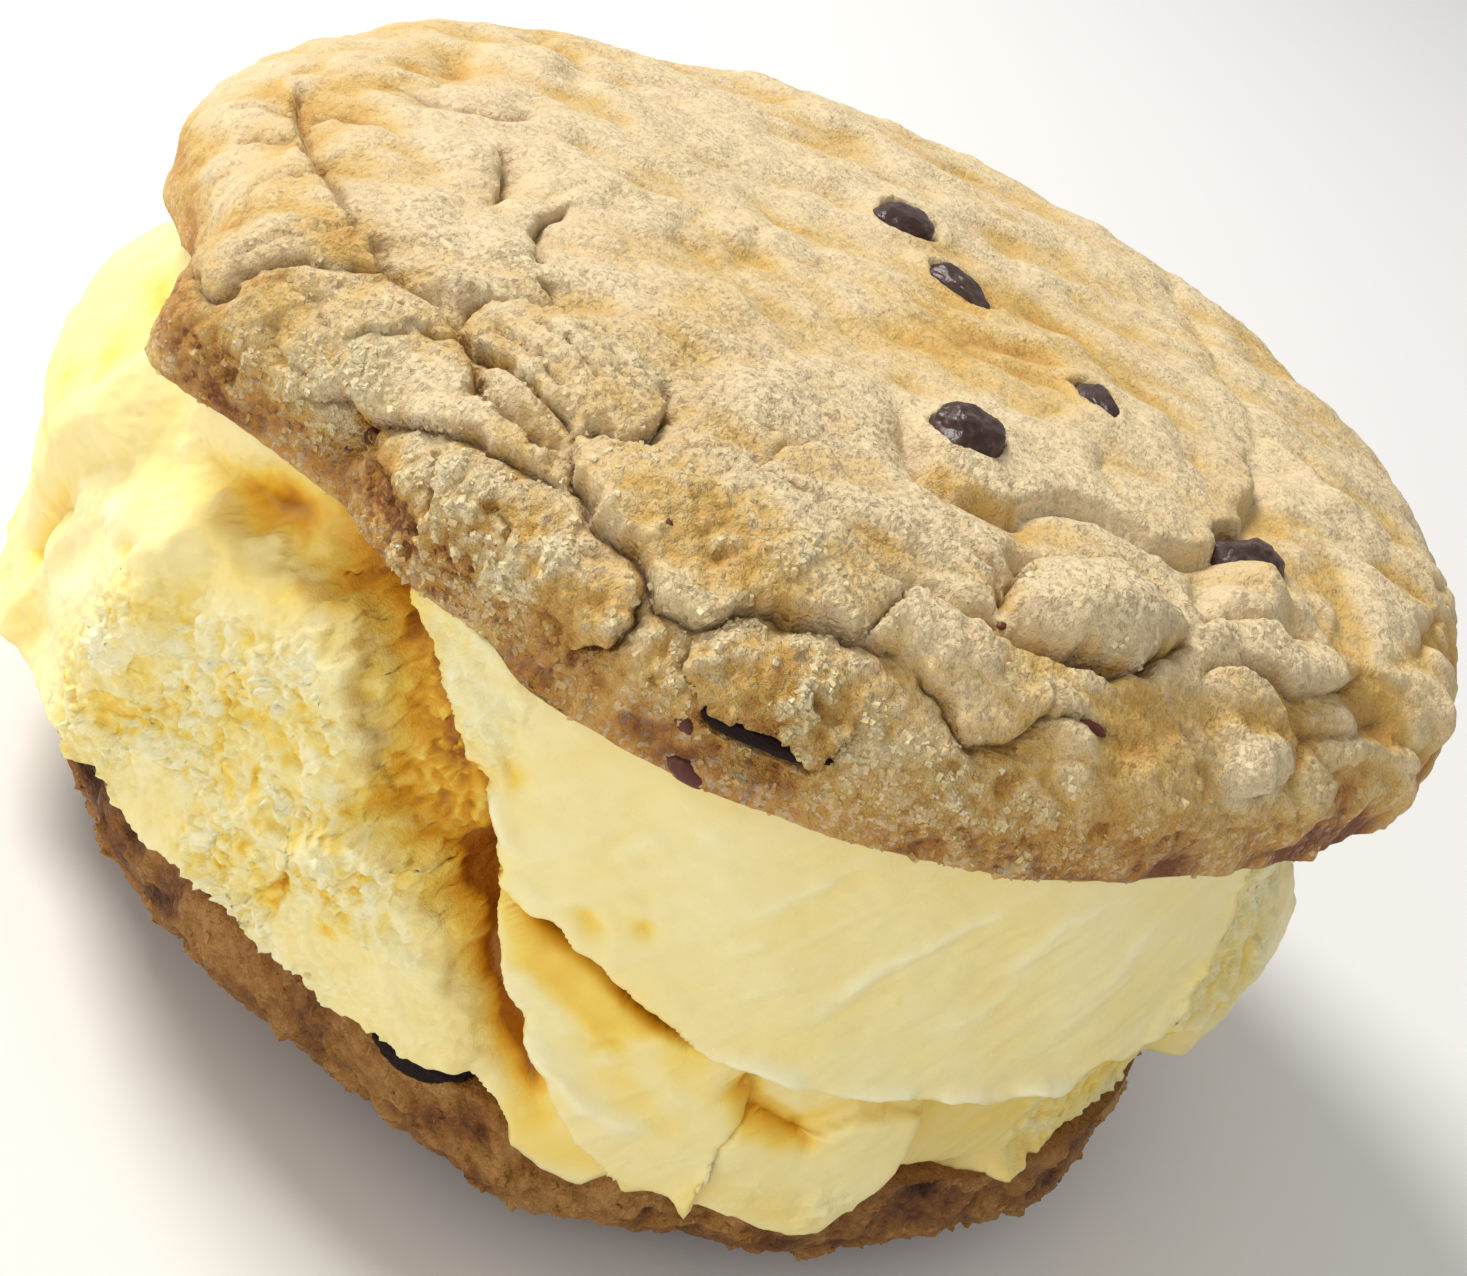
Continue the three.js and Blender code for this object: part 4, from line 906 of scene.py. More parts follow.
# Folds left by the scoop: how far the inside stands out, how soft and how ragged the edge is, how far
# it leans over what lies next to it, how much amber painted shade the inside takes, and the outline.
iceFolds = [
    # the smooth scoop across the front
    (2.6, 0.45, 0.6, 0.8, 0, [(-17, 43.2), (-15.4, 42.2), (-13.3, 41), (-10.8, 39.2), (-8.8, 37.3),
        (-6.8, 35.4), (-5.4, 33.3), (-4.6, 31.5), (-3.5, 30.3), (-2, 29.5), (0, 29), (3, 28.5), (5, 27.3),
        (7, 26.3), (9.5, 25.2), (10.5, 24.9), (14, 24.7), (20, 25.1), (27, 25.2), (30, 25.5), (32.3, 26),
        (34, 27.8), (36.5, 28.2), (38.5, 30), (38.6, 36.3), (38.5, 43), (38.5, 48), (-20, 48)]),
    # the rough ice to the right of it
    (1.7, 1.6, 1.2, 0.3, 0, [(38.2, 28), (42.2, 26.4), (47.6, 25), (54, 24.4), (60, 24.5), (64, 27),
        (62, 32), (55, 36), (48, 38), (44, 43), (38.6, 46), (38.6, 36)]),
    # the blade under the scoop's left end
    (1.6, 0.5, 0.3, 0.6, 0, [(-5, 30), (-3.5, 28), (-2, 25.5), (-0.5, 23), (1, 20.5), (2.5, 18.7), (4, 17),
        (6, 15), (9, 13), (14, 12.5), (13.8, 18), (14.5, 21), (12.9, 24.3), (10.6, 24.2), (8, 24.4),
        (5, 25.4), (3.5, 26.4), (0, 27.6), (-3.4, 29.6)]),
    # the valley
    (-2.8, 1.8, 0.5, 0, 0.5, [(-22, 39), (-19.4, 37.9), (-17.2, 37.5), (-14.9, 35.7), (-13.5, 33),
        (-12.7, 31), (-12.3, 28.5), (-10.5, 28), (-9.5, 27.5), (-8, 26), (-7, 25.3), (-5.5, 24.5),
        (-4.5, 23), (-3.5, 22), (-1.5, 20), (-4, 27), (-5, 30), (-5.4, 33), (-7, 35.4), (-9, 37.3),
        (-11, 39.2), (-13.5, 41), (-17, 43.5), (-24, 43.5)]),
    # the frosty band
    (1.5, 1, 1.1, 0.5, 0, [(-33, 28), (-31.5, 34), (-30.7, 37), (-27, 36.6), (-23.3, 37.3), (-19.4, 37.7),
        (-17.2, 37), (-15.4, 35.2), (-14.2, 33.3), (-13.2, 31.6), (-12, 29.8), (-9.5, 28.3), (-7.3, 26.8),
        (-10, 25.5), (-15, 22.5), (-18, 16), (-31, 14), (-35, 20)]),
    # the low lobe
    (1.2, 1.3, 0.8, 0.3, 0, [(-15.6, 22.3), (-13.5, 26), (-9.8, 26.8), (-7, 27), (-4.4, 24.2), (-4.5, 22.5),
        (-3.6, 20.2), (-1.1, 17.8), (-2, 14), (-9.4, 14), (-15, 16)]),
    # the hollow
    (-2.2, 3.2, 0, 0, 0.15, [(-34, 37), (-28.6, 40.1), (-24, 47), (-13, 47), (-15.7, 37.8), (-21.8, 37.3),
        (-28.6, 36.3)]),
    # the melting lobe
    (2.4, 2, 0, 0, 0, [(-29.2, 36), (-33, 34), (-37, 33), (-42, 28.5), (-46.5, 22), (-50, 14), (-50, 8),
        (-41, 8), (-33, 8), (-31, 16.2), (-30.7, 21.5), (-28, 28.3)]),
    # the fat lobe left of it
    (4.7, 4.4, 0, 0, 0.08, [(-40, 34), (-44, 39), (-54, 40), (-66, 37), (-76, 30), (-82, 20), (-76, 8),
        (-49, 8), (-48, 20), (-43.5, 28)]),
    # the shaded ice under the scoop's left end
    (0, 0.6, 0.5, 0, 0.45, [(-4.6, 31.5), (-2.4, 27.5), (0.4, 24.8), (4.4, 22.8), (9.4, 24.4), (6, 26),
        (3, 28), (-2, 29.3)]),
    # the recess at the lower right
    (-2.6, 1, 0.8, 0, 0.25, [(25.9, 22.5), (28, 23.5), (31, 24), (33, 25.6), (34.5, 27.6), (38, 27.4),
        (42, 25.8), (48, 24), (56, 22), (61, 17), (60, 8), (26, 8), (26.3, 15)]),
    # the drip beside it
    (1.5, 0.7, 0.3, 0.6, 0, [(13, 12.5), (14, 18), (14.8, 20.6), (18, 19.2), (21, 21.4), (25.2, 22),
        (25.3, 17.5), (23.8, 14), (22, 11.3), (18, 11.5)]),
]
# Ridges and grooves: lift, width, shade and path. A lift above 0 is a ridge, a shade above 0 is amber
# painted shade and one below 0 is a pale painted highlight.
iceLines = [
    (-2.4, 1.3, 1.7, [(-17.5, 42), (-14.6, 40.4), (-12, 38.4), (-9.8, 36.2), (-7.4, 34.2), (-6, 31.8),
        (-5.4, 30), (-5.2, 28.1), (-3.6, 25.1), (-1.4, 21.9), (0.9, 18.6), (3.9, 14.5)]),
    (-2.2, 0.9, 1.1, [(-4, 30.4), (-2, 28.8), (0, 28), (3.5, 27.2), (6, 25.9), (9.6, 24.7)]),
    (-1.2, 0.9, 0.6, [(12.9, 24.4), (13.2, 22.4), (14.6, 20.6), (17, 19.2), (20, 18.6)]),
    (-0.6, 1, 0.6, [(25.8, 23), (26.4, 19), (27, 15)]),
    (-0.4, 0.7, 0.8, [(26, 23), (29.4, 24), (33, 25.4), (35, 27), (39, 27)]),
    (0.5, 0.6, -1, [(10, 25.1), (12.7, 25.7), (15.2, 25.4), (18.2, 25.5), (23.8, 26), (26.5, 26),
        (29.9, 26.7), (32.5, 26.6)]),
    (0.35, 0.6, -0.7, [(-6.1, 36.2), (-3.7, 32.7), (-2.1, 31.3), (0, 30.3), (1.6, 30.2), (2.9, 29.6),
        (3.9, 28.4)]),
    (0.45, 0.8, -0.7, [(-2.7, 27.1), (-0.8, 24.2), (1.4, 21.2), (4.6, 18.6), (8.3, 17.4), (12, 16.3)]),
    (0.25, 0.7, -0.4, [(-0.8, 25.6), (2.5, 22.6), (6.4, 21)]),
    (0.5, 0.8, 0.2, [(-30.5, 36.5), (-28, 35.6), (-25.7, 35), (-22.4, 36), (-19.3, 37.8)]),
    (0.16, 0.6, -0.4, [(1, 35.3), (3.1, 37.8), (5.9, 39.9)]),
    (0.16, 0.6, -0.4, [(7.9, 34.9), (10, 37.2), (12.3, 39.2)]),
    (0.12, 0.5, -0.35, [(8.3, 32.4), (10.1, 34.6)]),
    (0.2, 0.6, -0.5, [(13.5, 28.9), (14.8, 30.8), (16.8, 34.9), (18.9, 37.5), (21.7, 39.8)]),
    (0.2, 0.6, -0.5, [(21.6, 30.6), (24, 33.5), (24.3, 37.1), (25.6, 39.7), (28.4, 40.9)]),
    (0.16, 0.7, -0.4, [(28, 31.9), (30.9, 35.5), (31.6, 39.5)]),
    (-0.7, 1.2, 0.3, [(-42.9, 27.4), (-49.2, 19.9), (-51, 15.8)]),
]
# Hollows, bumps, painted shade and painted highlights: place, lift, shade, half length, half width,
# turn in degrees.
iceSpots = [
    ((-15, 38.8), 0, 0.5, 3.6, 1.6, -40), ((-9.5, 32), 0, 0.45, 2, 4, 20),
    ((-5.8, 27.4), -0.9, 1.8, 1.3, 1.6, 30), ((-2.5, 23.8), 0, 1, 0.9, 2.2, 35),
    ((0.5, 20), 0, 0.8, 0.9, 2, 40), ((-28, 38.5), 0, 0.45, 3, 1.4, 20),
    ((-3.8, 25.6), 0, 0.8, 0.8, 1.6, 35), ((3, 17), 0, 0.5, 0.8, 2, 30), ((6.8, 25.9), 0, 0.6, 2, 0.8, -30),
    ((1.5, 25.2), 0, 0.4, 1.4, 1.4, -35), ((8, 24.4), 0, 0.5, 4.4, 1, -36),
    ((-48, 34.5), -0.2, 0.4, 2.4, 1, 0), ((-50.5, 38), 0, 0.5, 3, 0.9, 0),
    ((-50.5, 26.5), -0.5, 0.3, 3, 1.2, 20), ((-48.5, 23), -0.4, 0.3, 3, 1, 10),
    ((-52, 18), -1.4, 0, 6, 3.6, 0), ((-27, 39.3), 0, 0.5, 2, 1.2, 0), ((-24.4, 38.2), 0, 0.3, 1.4, 1, 0),
    ((-37, 31), 0.3, -0.6, 1.8, 1, 0), ((-10, 33), -0.5, 0.3, 1.2, 2.6, 35),
    ((-12.5, 36.5), -0.3, 0.3, 1.4, 2, 35), ((-24.5, 39.7), 0, 0.5, 3, 1.4, 30),
    ((-20, 41.5), 0, 0.45, 2.4, 1, 0), ((0, 28.2), 0, 0.6, 2, 0.8, -10), ((5, 26), 0, 0.7, 1.4, 0.9, -30),
    ((8.5, 25), 0, 0.5, 1.2, 0.7, -20), ((1.2, 31), -0.4, 0.55, 1, 0.8, 0),
    ((3.8, 31.6), -0.3, 0.5, 0.8, 0.7, 0), ((-5, 37), -0.3, 0.5, 0.7, 1, 0), ((-1, 26), 0, 0.4, 1, 1.4, 30),
    ((13.3, 22), 0, 0.6, 0.8, 1.6, 10), ((16, 19.3), 0, 0.5, 1.6, 0.8, -20),
    ((28, 21.5), 0, 0.7, 1.6, 1.4, 0), ((32.5, 21), 0, 0.35, 1.6, 1.2, 0),
    ((28, 22.7), -0.3, 0.7, 1.6, 0.6, 0), ((5.5, 22.3), -0.2, 0.4, 1.4, 0.7, 20),
    ((-33.9, 30.4), -0.2, 0.45, 1.6, 0.8, 20), ((-35.4, 27.4), -0.1, 0.3, 1.6, 1, 0),
    ((-33.6, 20), -0.1, 0.45, 1.4, 0.8, 0), ((-19.5, 25.4), -0.5, 0.6, 0.7, 1.2, 0),
    ((-18.3, 31.6), -0.4, 0.5, 0.9, 0.8, 0), ((-16.2, 24), -0.4, 0.4, 0.8, 0.8, 0),
    ((-15.5, 20.5), -0.5, 0.55, 0.6, 1.2, -20), ((-19.8, 20.9), -0.3, 0.35, 0.9, 0.6, 0),
    ((-22.8, 27.5), -0.4, 0.4, 0.8, 0.7, 0), ((-25.7, 23), -0.3, 0.35, 1, 0.7, 0),
    ((-22.6, 33), -0.3, 0.35, 1.4, 0.7, 0), ((-17, 28.6), -0.4, 0.5, 0.7, 0.9, 0),
    ((40.2, 34.5), -0.7, 0.9, 1.1, 3, 15), ((-11.5, 20), -0.2, 0.9, 0.5, 0.4, 0),
    ((30.5, 26.6), 0.7, -1, 1.8, 1, 0), ((-35.7, 27.6), 0, -0.5, 1.4, 4, -25),
    ((-39.1, 23.8), 0, -0.4, 1.4, 3.4, -25), ((-50, 29), 0.4, 0.12, 7, 3, 0),
    ((-49.3, 31.5), 0, 0.35, 2, 1.4, 0), ((-46, 16), 0, 0.3, 2.4, 3, 0), ((7, 12.5), 0, 0.5, 4, 1.4, 0),
    ((4.5, 23), 0, 0.35, 2, 1.6, -30), ((7.5, 20), 0, 0.35, 3, 1.2, -30), ((14, 14), 0, 0.5, 1.2, 1, 0),
    ((19, 13.6), 0, 0.3, 3, 1.4, 0), ((58, 38), -4.4, 0, 16, 8, 0), ((-80, 41), -6, 0, 26, 6, 0),
    ((3, 14), 0, 0.3, 2, 1.4, 0), ((48, 29), -0.6, 0.3, 3, 3, 0),
]
# Where the ice is frosty, and the round scoops round the back.
frostPatch = [
    (-35, 26), (-31, 31), (-25.6, 33), (-22, 35), (-19, 37), (-16.9, 36.2), (-15, 33.5), (-12, 29.8),
    (-8.7, 28.1), (-5, 26), (-6, 21), (-9, 14), (-20, 11), (-34, 11), (-39, 16), (-38, 22),
]
backScoops = {"count": 7, "start": 66, "pitch": 18.4, "lowZ": 19, "span": 17, "stand": 1.9, "spread": 7.5}


def softLeast(first, second, blend):
    # the lesser of two values, rounded where they cross
    return -blend * np.logaddexp(-first / blend, -second / blend)


def coverRadius(angle):
    # how far the upper cookie covers the ice cream, from the upright axis
    x, y = topCookie["centre"]
    return edgeRadius(topCookie, angle) + x * np.cos(angle) + y * np.sin(angle) - iceCream["underEdge"]


def backScoopLift(u, z):
    lift = np.zeros(len(u))
    for i in range(backScoops["count"]):
        at = backScoops["start"] + i * backScoops["pitch"]
        height = backScoops["lowZ"] + backScoops["span"] * (i * 0.618 % 1)
        away = np.minimum(np.abs(u - at), np.abs(u + 2 * math.pi * iceCream["radius"] - at))
        spread = backScoops["spread"]
        lift = np.maximum(lift, backScoops["stand"] * bell(away, spread) * bell(z - height, spread))
    return lift


def iceForms(u, z, bare):
    # the folds, ridges and spots: lift, shade, where it is steep, and how far edges lean over, as (u, z)
    jitter = [0.85 * noise(bare, 2.0, seed) + 0.25 * noise(bare, 0.8, seed + 1) for seed in (70, 74)]
    lift = 0.3 * wobble(u, z, 5) + backScoopLift(u, z)
    shade = np.zeros(len(u))
    lean, wall = np.zeros((2, len(u))), np.zeros(len(u))
    for stand, soft, ragged, overhang, amber, outline in iceFolds:
        inside, direction = outlinePlace(u + ragged * jitter[0], z + ragged * jitter[1], outline)
        within = smooth(0.5 + inside / (2 * soft))
        lift += stand * within
        shade += amber * within
        wall = np.maximum(wall, 4 * within * (1 - within) * min(1, abs(stand) / 2))
        lean -= direction * overhang * smooth(0.3 + inside) * np.exp(-np.maximum(0, inside) / 1.1)
    for rise, width, amber, path in iceLines:
        near = nearPath(u, z, path, 4 * width)
        shaky = [0.45 * shift[near] for shift in jitter]
        away, share, _ = pathPlace(u[near] + shaky[0], z[near] + shaky[1], path)
        fade = 0.2 + 0.8 * smooth(np.minimum(share, 1 - share) * 7)
        if amber <= 0:
            fade *= smooth(0.75 + 0.9 * jitter[0][near])
        away = np.abs(away) / width
        lift[near] += fade * rise * (0.6 * bell(away, 1) + 0.4 * np.exp(-away / 0.35))
        shade[near] += fade * amber * bell(away, 0.9)
    shakyU, shakyZ = u + 0.6 * jitter[0], z + 0.6 * jitter[1]
    for at, rise, amber, *oval in iceSpots:
        spot = hump(shakyU, shakyZ, at, *oval)
        lift += rise * spot
        shade += amber * spot
    return lift, shade, wall, np.clip(lean, -1.5, 1.5), jitter


def iceFrost(u, z, bare, jitter):
    # how frosty the ice is: most in the frosty patch, where it thins out low down, less beside it
    ice = iceCream
    frost = smooth(0.5 + outlinePlace(u + jitter[0], z + jitter[1], frostPatch)[0] / 6)
    frost *= 1 - 0.55 * smooth(0.3 + 1.6 * noise(bare, 6, 83)) * ease(z, 24, -4)
    rear = ice["frostyRear"] * ease(np.abs(u), 60, 8)
    valley = ice["frostyValley"] * ease(u, -24, 4) * ease(u, -4.5, -2) * ease(z, 25, 2)
    lobes = ice["frostyLobes"] * ease(u, -36, 4) * ease(u, 1, -2) * ease(z, 26, -4)
    right = ice["frostyRight"] * ease(u + jitter[0], 37, 2) * ease(u, 60, -8)
    ragged = smooth(0.4 + noise(bare, 3, 79)) * (np.abs(u - 8) < 17)
    edge = ice["frostyEdge"] * ragged * ease(z, 17.5, -3)
    return np.max([frost, rear, valley, lobes, right, edge], axis=0)


def iceSurface(angle, rise):
    # points on the side by angle and share of the height, and what the material is told about them
    ice = iceCream
    radius, high = ice["radius"], ice["high"]
    u = radius * (np.where(angle > math.pi / 2, angle - 2 * math.pi, angle) + math.pi / 2)
    ring = radius * vectors(np.cos(angle), np.sin(angle), 0 * angle)
    rough = 0.5 * noise(ring, 1.5, 92) + 0.25 * noise(ring, 0.6, 93)
    lip = np.interp(u, *zip(*lowerLip)) + 0.4 * rough
    lowest = np.minimum(ice["low"], lip - 0.6)
    z = mix(lowest, high, rise)
    bare = ring + vectors(0 * z, 0 * z, z)
    lift, shade, wall, lean, jitter = iceForms(u, z, bare)
    back = ease(np.abs(u - 8), 62, 8)
    swells = fractal(bare, 11, 3, 119) + ridges(bare, 7, 120, 3) - 0.4
    lift += back * ice["backRelief"] * swells + 0.35 * noise(bare, 5, 117) * ease(u, -30, -6)
    lip += back * ice["backLip"] * noise(ring, 8, 121)
    frost = iceFrost(u, z, bare, jitter)
    patch = smooth(0.55 + 0.9 * fractal(bare, 3.2, 3, 80))
    slanted = vectors(u + 0.6 * z, 0.45 * z, 0 * z)
    sharp = ice["flakes"] * (grains(bare, 0.8, 84) - 0.4) + ice["crystals"] * peaks(bare, 0.5, 88)
    sharp += ice["frostCreases"] * (ridges(slanted, 0.9, 85, 3) - 0.3)
    frosty = (0.35 + 0.65 * patch) * sharp + ice["softLumps"] * fractal(bare, 2.6, 4, 90, 0.6)
    across = vectors(u - 0.75 * z, 0.16 * z, 0 * z)
    streaks = noise(across, 1.3, 95) + 0.6 * noise(across, 0.6, 96)
    scooped = 0.05 * fractal(bare, 1.1, 3, 97) + ice["streaks"] * streaks
    texture = frost * (1 - 0.5 * wall) * frosty + (1 - frost) * scooped
    foot = np.interp(u, *zip(*footRadius)) + rough
    full = mix(foot, radius + lift + texture, ease(z, lip - 0.9, 1.3))
    below = ease(z, high - 1.6, -ice["shoulderDepth"])
    full = softLeast(full, coverRadius(angle) + ice["shoulder"] * below, 0.6)
    held = ease(z, lowest, 2) * ease(z, high, -2)
    angle = angle + held * lean[0] / radius
    points = vectors(full * np.cos(angle), full * np.sin(angle), z + held * lean[1])
    # small crumbs that run on over the steep walls of the folds
    crumbs = np.stack([fractal(points, 1.1, 3, seed, 0.65) for seed in (101, 105, 109)], axis=1)
    points += (held * (0.04 + ice["frostCrumbs"] * frost + 0.06 * wall))[:, None] * crumbs
    texture += 0.25 * (0.15 + frost) * crumbs[:, 0]
    # pale: painted highlight where the shade is below 0 and along the scoop's streaks, with the frost's own
    # paler patches; then the frost's yellow patches, and painted shade on its steep walls
    pale = np.clip(-shade, 0, 1) + frost * patch * 0.25 + (1 - frost) * 0.16 * np.clip(streaks, 0, 1)
    shade += frost * (0.25 * ease(fractal(bare, 2.2, 3, 113), 0.15, 0.4) + 0.22 * wall)
    looks = {"frost": frost, "high": 0.5 + texture / 1.2, "pale": pale}
    return points, full, np.clip(shade, 0, 2), looks, u


def blurred(grid, reach):
    # mean over a square of cells round each one; columns wrap round, rows end
    padded = np.pad(np.pad(grid, ((reach, reach), (0, 0)), "wrap"), ((0, 0), (reach, reach)), "edge")
    for axis in (0, 1):
        total = np.cumsum(padded, axis=axis)
        total = np.insert(total, 0, 0, axis=axis)
        size = 2 * reach + 1
        upper = np.take(total, range(size, total.shape[axis]), axis=axis)
        lower = np.take(total, range(0, total.shape[axis] - size), axis=axis)
        padded = (upper - lower) / size
    return padded


def buildIceCream(material):
    numbers, degrees = zip(*iceCream["columns"])
    angles = np.radians(np.interp(np.arange(numbers[-1]), numbers, degrees))
    rises = np.linspace(0, 1, iceCream["rows"])
    shape = (len(angles), len(rises))
    points, radius, shade, looks, u = iceSurface(np.repeat(angles, len(rises)), np.tile(rises, len(angles)))
    grid = radius.reshape(shape)
    face, faceDepth = iceCream["face"]
    sunk = sum((blurred(grid, reach) - grid) / deep for reach, deep in iceCream["hollows"])
    sunk += np.maximum(0, face - grid) / faceDepth
    sunk = (np.clip(sunk, 0, 1.4) * ease(rises, 0.07, 0.1)).ravel()
    looks["deep"] = iceCream["hollowShade"] * sunk + iceCream["formShade"] * shade
    looks["u"] = u
    points = points.reshape(*shape, 3)
    mesh = RingMesh()
    mesh.addRing(np.array([[0, 0, iceCream["high"]]]))
    for row in reversed(range(len(rises))):
        mesh.addRing(points[:, row])
    mesh.addRing(np.array([[0, 0, iceCream["low"]]]))
    looks = {key: np.concatenate([[0], value.reshape(shape)[:, ::-1].T.ravel(), [0]])
             for key, value in looks.items()}
    allPoints, faces = mesh.arrays()
    uv = np.stack([looks.pop("u"), allPoints[:, 2]], axis=1) / 100
    made = plainMesh("iceCream", allPoints, faces, looks, uv)
    return addPiece("iceCream", made, material, "ice_cream", "ice_cream")


iceLook = {
    "frost": (0.98, 0.89, 0.56), "cream": (0.94, 0.79, 0.35), "yellow": (0.93, 0.68, 0.12),
    "amber": (0.82, 0.44, 0.022), "brown": (0.42, 0.15, 0.005),
    "shadeAt": (0.05, 0.27, 0.5, 0.74, 1.0),          # how shaded each of the five colours is
    "shade": 0.25, "deepDarker": 0.9, "gapsDarker": 0.6, "patchiness": 0.22, "palePaler": 0.24,
    "roughness": 0.40, "frostRougher": 0.26, "softScale": 200, "fineScale": 2400,
}


def iceMaterial(look):
    material, graph = newMaterial("vanillaIce")
    place = graph.objectPlace()
    deep, frost, high, pale = [graph.attribute(key) for key in ("deep", "frost", "high", "pale")]
    soft = graph.noise(place, look["softScale"], 3)
    fine = graph.noise(place, look["fineScale"], 4, 0.65)
    # painted shade: hollows, folds and the gaps in the frost take the shaded colours, pale painted
    # highlights the paler ones
    shade = look["shade"] + deep * look["deepDarker"] + (0.5 - high) * frost * look["gapsDarker"]
    shade = shade + (soft - 0.5) * look["patchiness"] - pale * look["palePaler"]
    names = ("frost", "cream", "yellow", "amber", "brown")
    stops = [(at, look[key]) for at, key in zip(look["shadeAt"], names)]
    colour = graph.add("ShaderNodeValToRGB", {"stops": stops}, {0: shade})
    normal = graph.bump(fine * (0.2 + frost), 0.2 * mm, 0.9)
    finishMaterial(graph, {
        "Base Color": colour, "Normal": normal,
        "Roughness": look["roughness"] + frost * look["frostRougher"] + (soft - 0.5) * 0.2 - deep * 0.06,
        "Specular IOR Level": 0.42, "Subsurface Weight": 0.4,
        "Subsurface Radius": (1.0, 0.9, 0.6), "Subsurface Scale": 0.7 * mm,
    })
    return material


# Chocolate chips and flakes, pebbles made by one Geometry Nodes tree.

chocolateLook = {"plain": (0.05, 0.024, 0.02), "bloom": (0.22, 0.14, 0.12), "roughness": 0.4, "gloss": 0.35}
# the darker, duller copy for chips lying in shade: painted shade
shadedChipLook = {"plain": (0.014, 0.007, 0.006), "bloom": (0.03, 0.015, 0.012), "roughness": 0.62, "gloss": 0.1}
flakeLook = {"plain": (0.10, 0.022, 0.014), "bloom": (0.22, 0.07, 0.03), "roughness": 0.4, "gloss": 0.35}
pebbles = {"lumps": 0.42, "lumpScale": 1.2, "chipDetail": 5, "flakeDetail": 3, "flakeSink": 0.1,
           "chipSeed": 3.7, "flakeSeed": 2.3, "bloomScale": 900, "patchScale": 260, "bloomShare": 0.75}


def chocolateMaterial(name, look):
    material, graph = newMaterial(name)
    place = graph.objectPlace()
    bloom = graph.noise(place, pebbles["bloomScale"], 4, 0.65)
    patches = graph.noise(place, pebbles["patchScale"], 2)
    share = (bloom.ramp(0.48, 0.72) * patches.ramp(0.35, 0.65)) * pebbles["bloomShare"]
    finishMaterial(graph, {
        "Base Color": graph.mixColour(share, look["plain"], look["bloom"]),
        "Normal": graph.bump(bloom, 0.2 * mm, 0.7),
        "Roughness": look["roughness"] - 0.08 + share * 0.4, "Specular IOR Level": look["gloss"],
    })
    return material


def newTree(name, **inputs):
    # a Geometry Nodes tree and its named inputs, each given with its kind
    tree = bpy.data.node_groups.new(name, "GeometryNodeTree")
    for label, kind in inputs.items():
        tree.interface.new_socket(label, in_out="INPUT", socket_type="NodeSocket" + kind)
    tree.interface.new_socket("Geometry", in_out="OUTPUT", socket_type="NodeSocketGeometry")
    graph = Graph(tree)
    entry = tree.nodes.new("NodeGroupInput")
    return tree, graph, {label: Wire(graph, entry.outputs[label]) for label in inputs}


def endTree(graph, geometry, material):
    realized = graph.add("GeometryNodeRealizeInstances", sockets={0: geometry})
    painted = graph.add("GeometryNodeSetMaterial", sockets={"Geometry": realized, "Material": material})
    graph.add("NodeGroupOutput", sockets={0: painted})


def grow(name, tree, values, carrier=None):
    # runs a tree on a carrier mesh and returns what it makes as a plain mesh
    holder = bpy.data.objects.new(name + "Holder", carrier or bpy.data.meshes.new(name + "Empty"))
    scene.collection.objects.link(holder)
    modifier = holder.modifiers.new("grow", "NODES")
    modifier.node_group = tree
    for item in tree.interface.items_tree:
        if item.in_out == "INPUT" and item.name in values:
            modifier[item.identifier] = values[item.name]
    evaluated = bpy.context.evaluated_depsgraph_get()
    mesh = bpy.data.meshes.new_from_object(holder.evaluated_get(evaluated), depsgraph=evaluated)
    holder.modifiers.remove(modifier)
    bpy.data.objects.remove(holder)
    mesh.name = name
    return mesh


def pebbleTree(name, material, detail):
    tree, graph, given = newTree(name, length="Float", width="Float", height="Float", lumps="Float",
                                 seed="Float")
    ball = graph.add("GeometryNodeMeshIcoSphere", sockets={"Radius": 1.0, "Subdivisions": detail})
    place = graph.add("GeometryNodeInputPosition")
    lumps = graph.add("ShaderNodeTexNoise", {"noise_dimensions": "4D"}, {
        "Vector": place, "W": given["seed"], "Scale": pebbles["lumpScale"], "Detail": 3.0})
    push = graph.scaled(place, (lumps - 0.5) * given["lumps"] * 2)
    lumpy = graph.moved(ball, push)
    halves = [given[side] * (mm / 2) for side in ("length", "width", "height")]
    size = graph.add("ShaderNodeCombineXYZ", sockets=dict(enumerate(halves)))
    sized = graph.add("GeometryNodeTransform", sockets={"Geometry": lumpy, "Scale": size})
    endTree(graph, graph.add("GeometryNodeSetShadeSmooth", sockets={0: sized}), material)
    return tree


def pebble(name, tree, size, place, seed):
    values = {**dict(zip(("length", "width", "height"), size)), "lumps": pebbles["lumps"], "seed": seed}
    mesh = grow(name, tree, values)
    mesh.transform(place)
    return mesh


def placedOn(point, outward, turn, sink):
    # stands a chip on a surface point, its own Z along the outward direction
    outward = Vector(outward).normalized()
    spin = Matrix.Rotation(math.radians(turn), 4, "Z")
    tilt = Vector((0, 0, 1)).rotation_difference(outward).to_matrix().to_4x4()
    return Matrix.Translation((Vector(point) - outward * sink) * mm) @ tilt @ spin


def topChipPlace(at, turn, sink):
    x, y = np.array(at, float).reshape(2, 1)
    bare, outward = cookieSurface(topCookie, np.arctan2(y, x), np.hypot(x, y))
    cut = crackRelief(x, y, np.zeros((2, 1)))[0]
    point = bare[0] + (topBroad(x, y) + cut * 0.6)[0] * outward[0]
    return placedOn(point + [0, 0, topCookie["base"]], outward[0], turn, sink)


def edgeChipPlace(degrees, height, sink):
    angle = math.radians(degrees)
    outward = np.array([math.cos(angle), math.sin(angle), 0])
    point = outward * float(edgeRadius(bottomCookie, angle)) + [0, 0, height]
    return placedOn(point, outward, 0, sink)


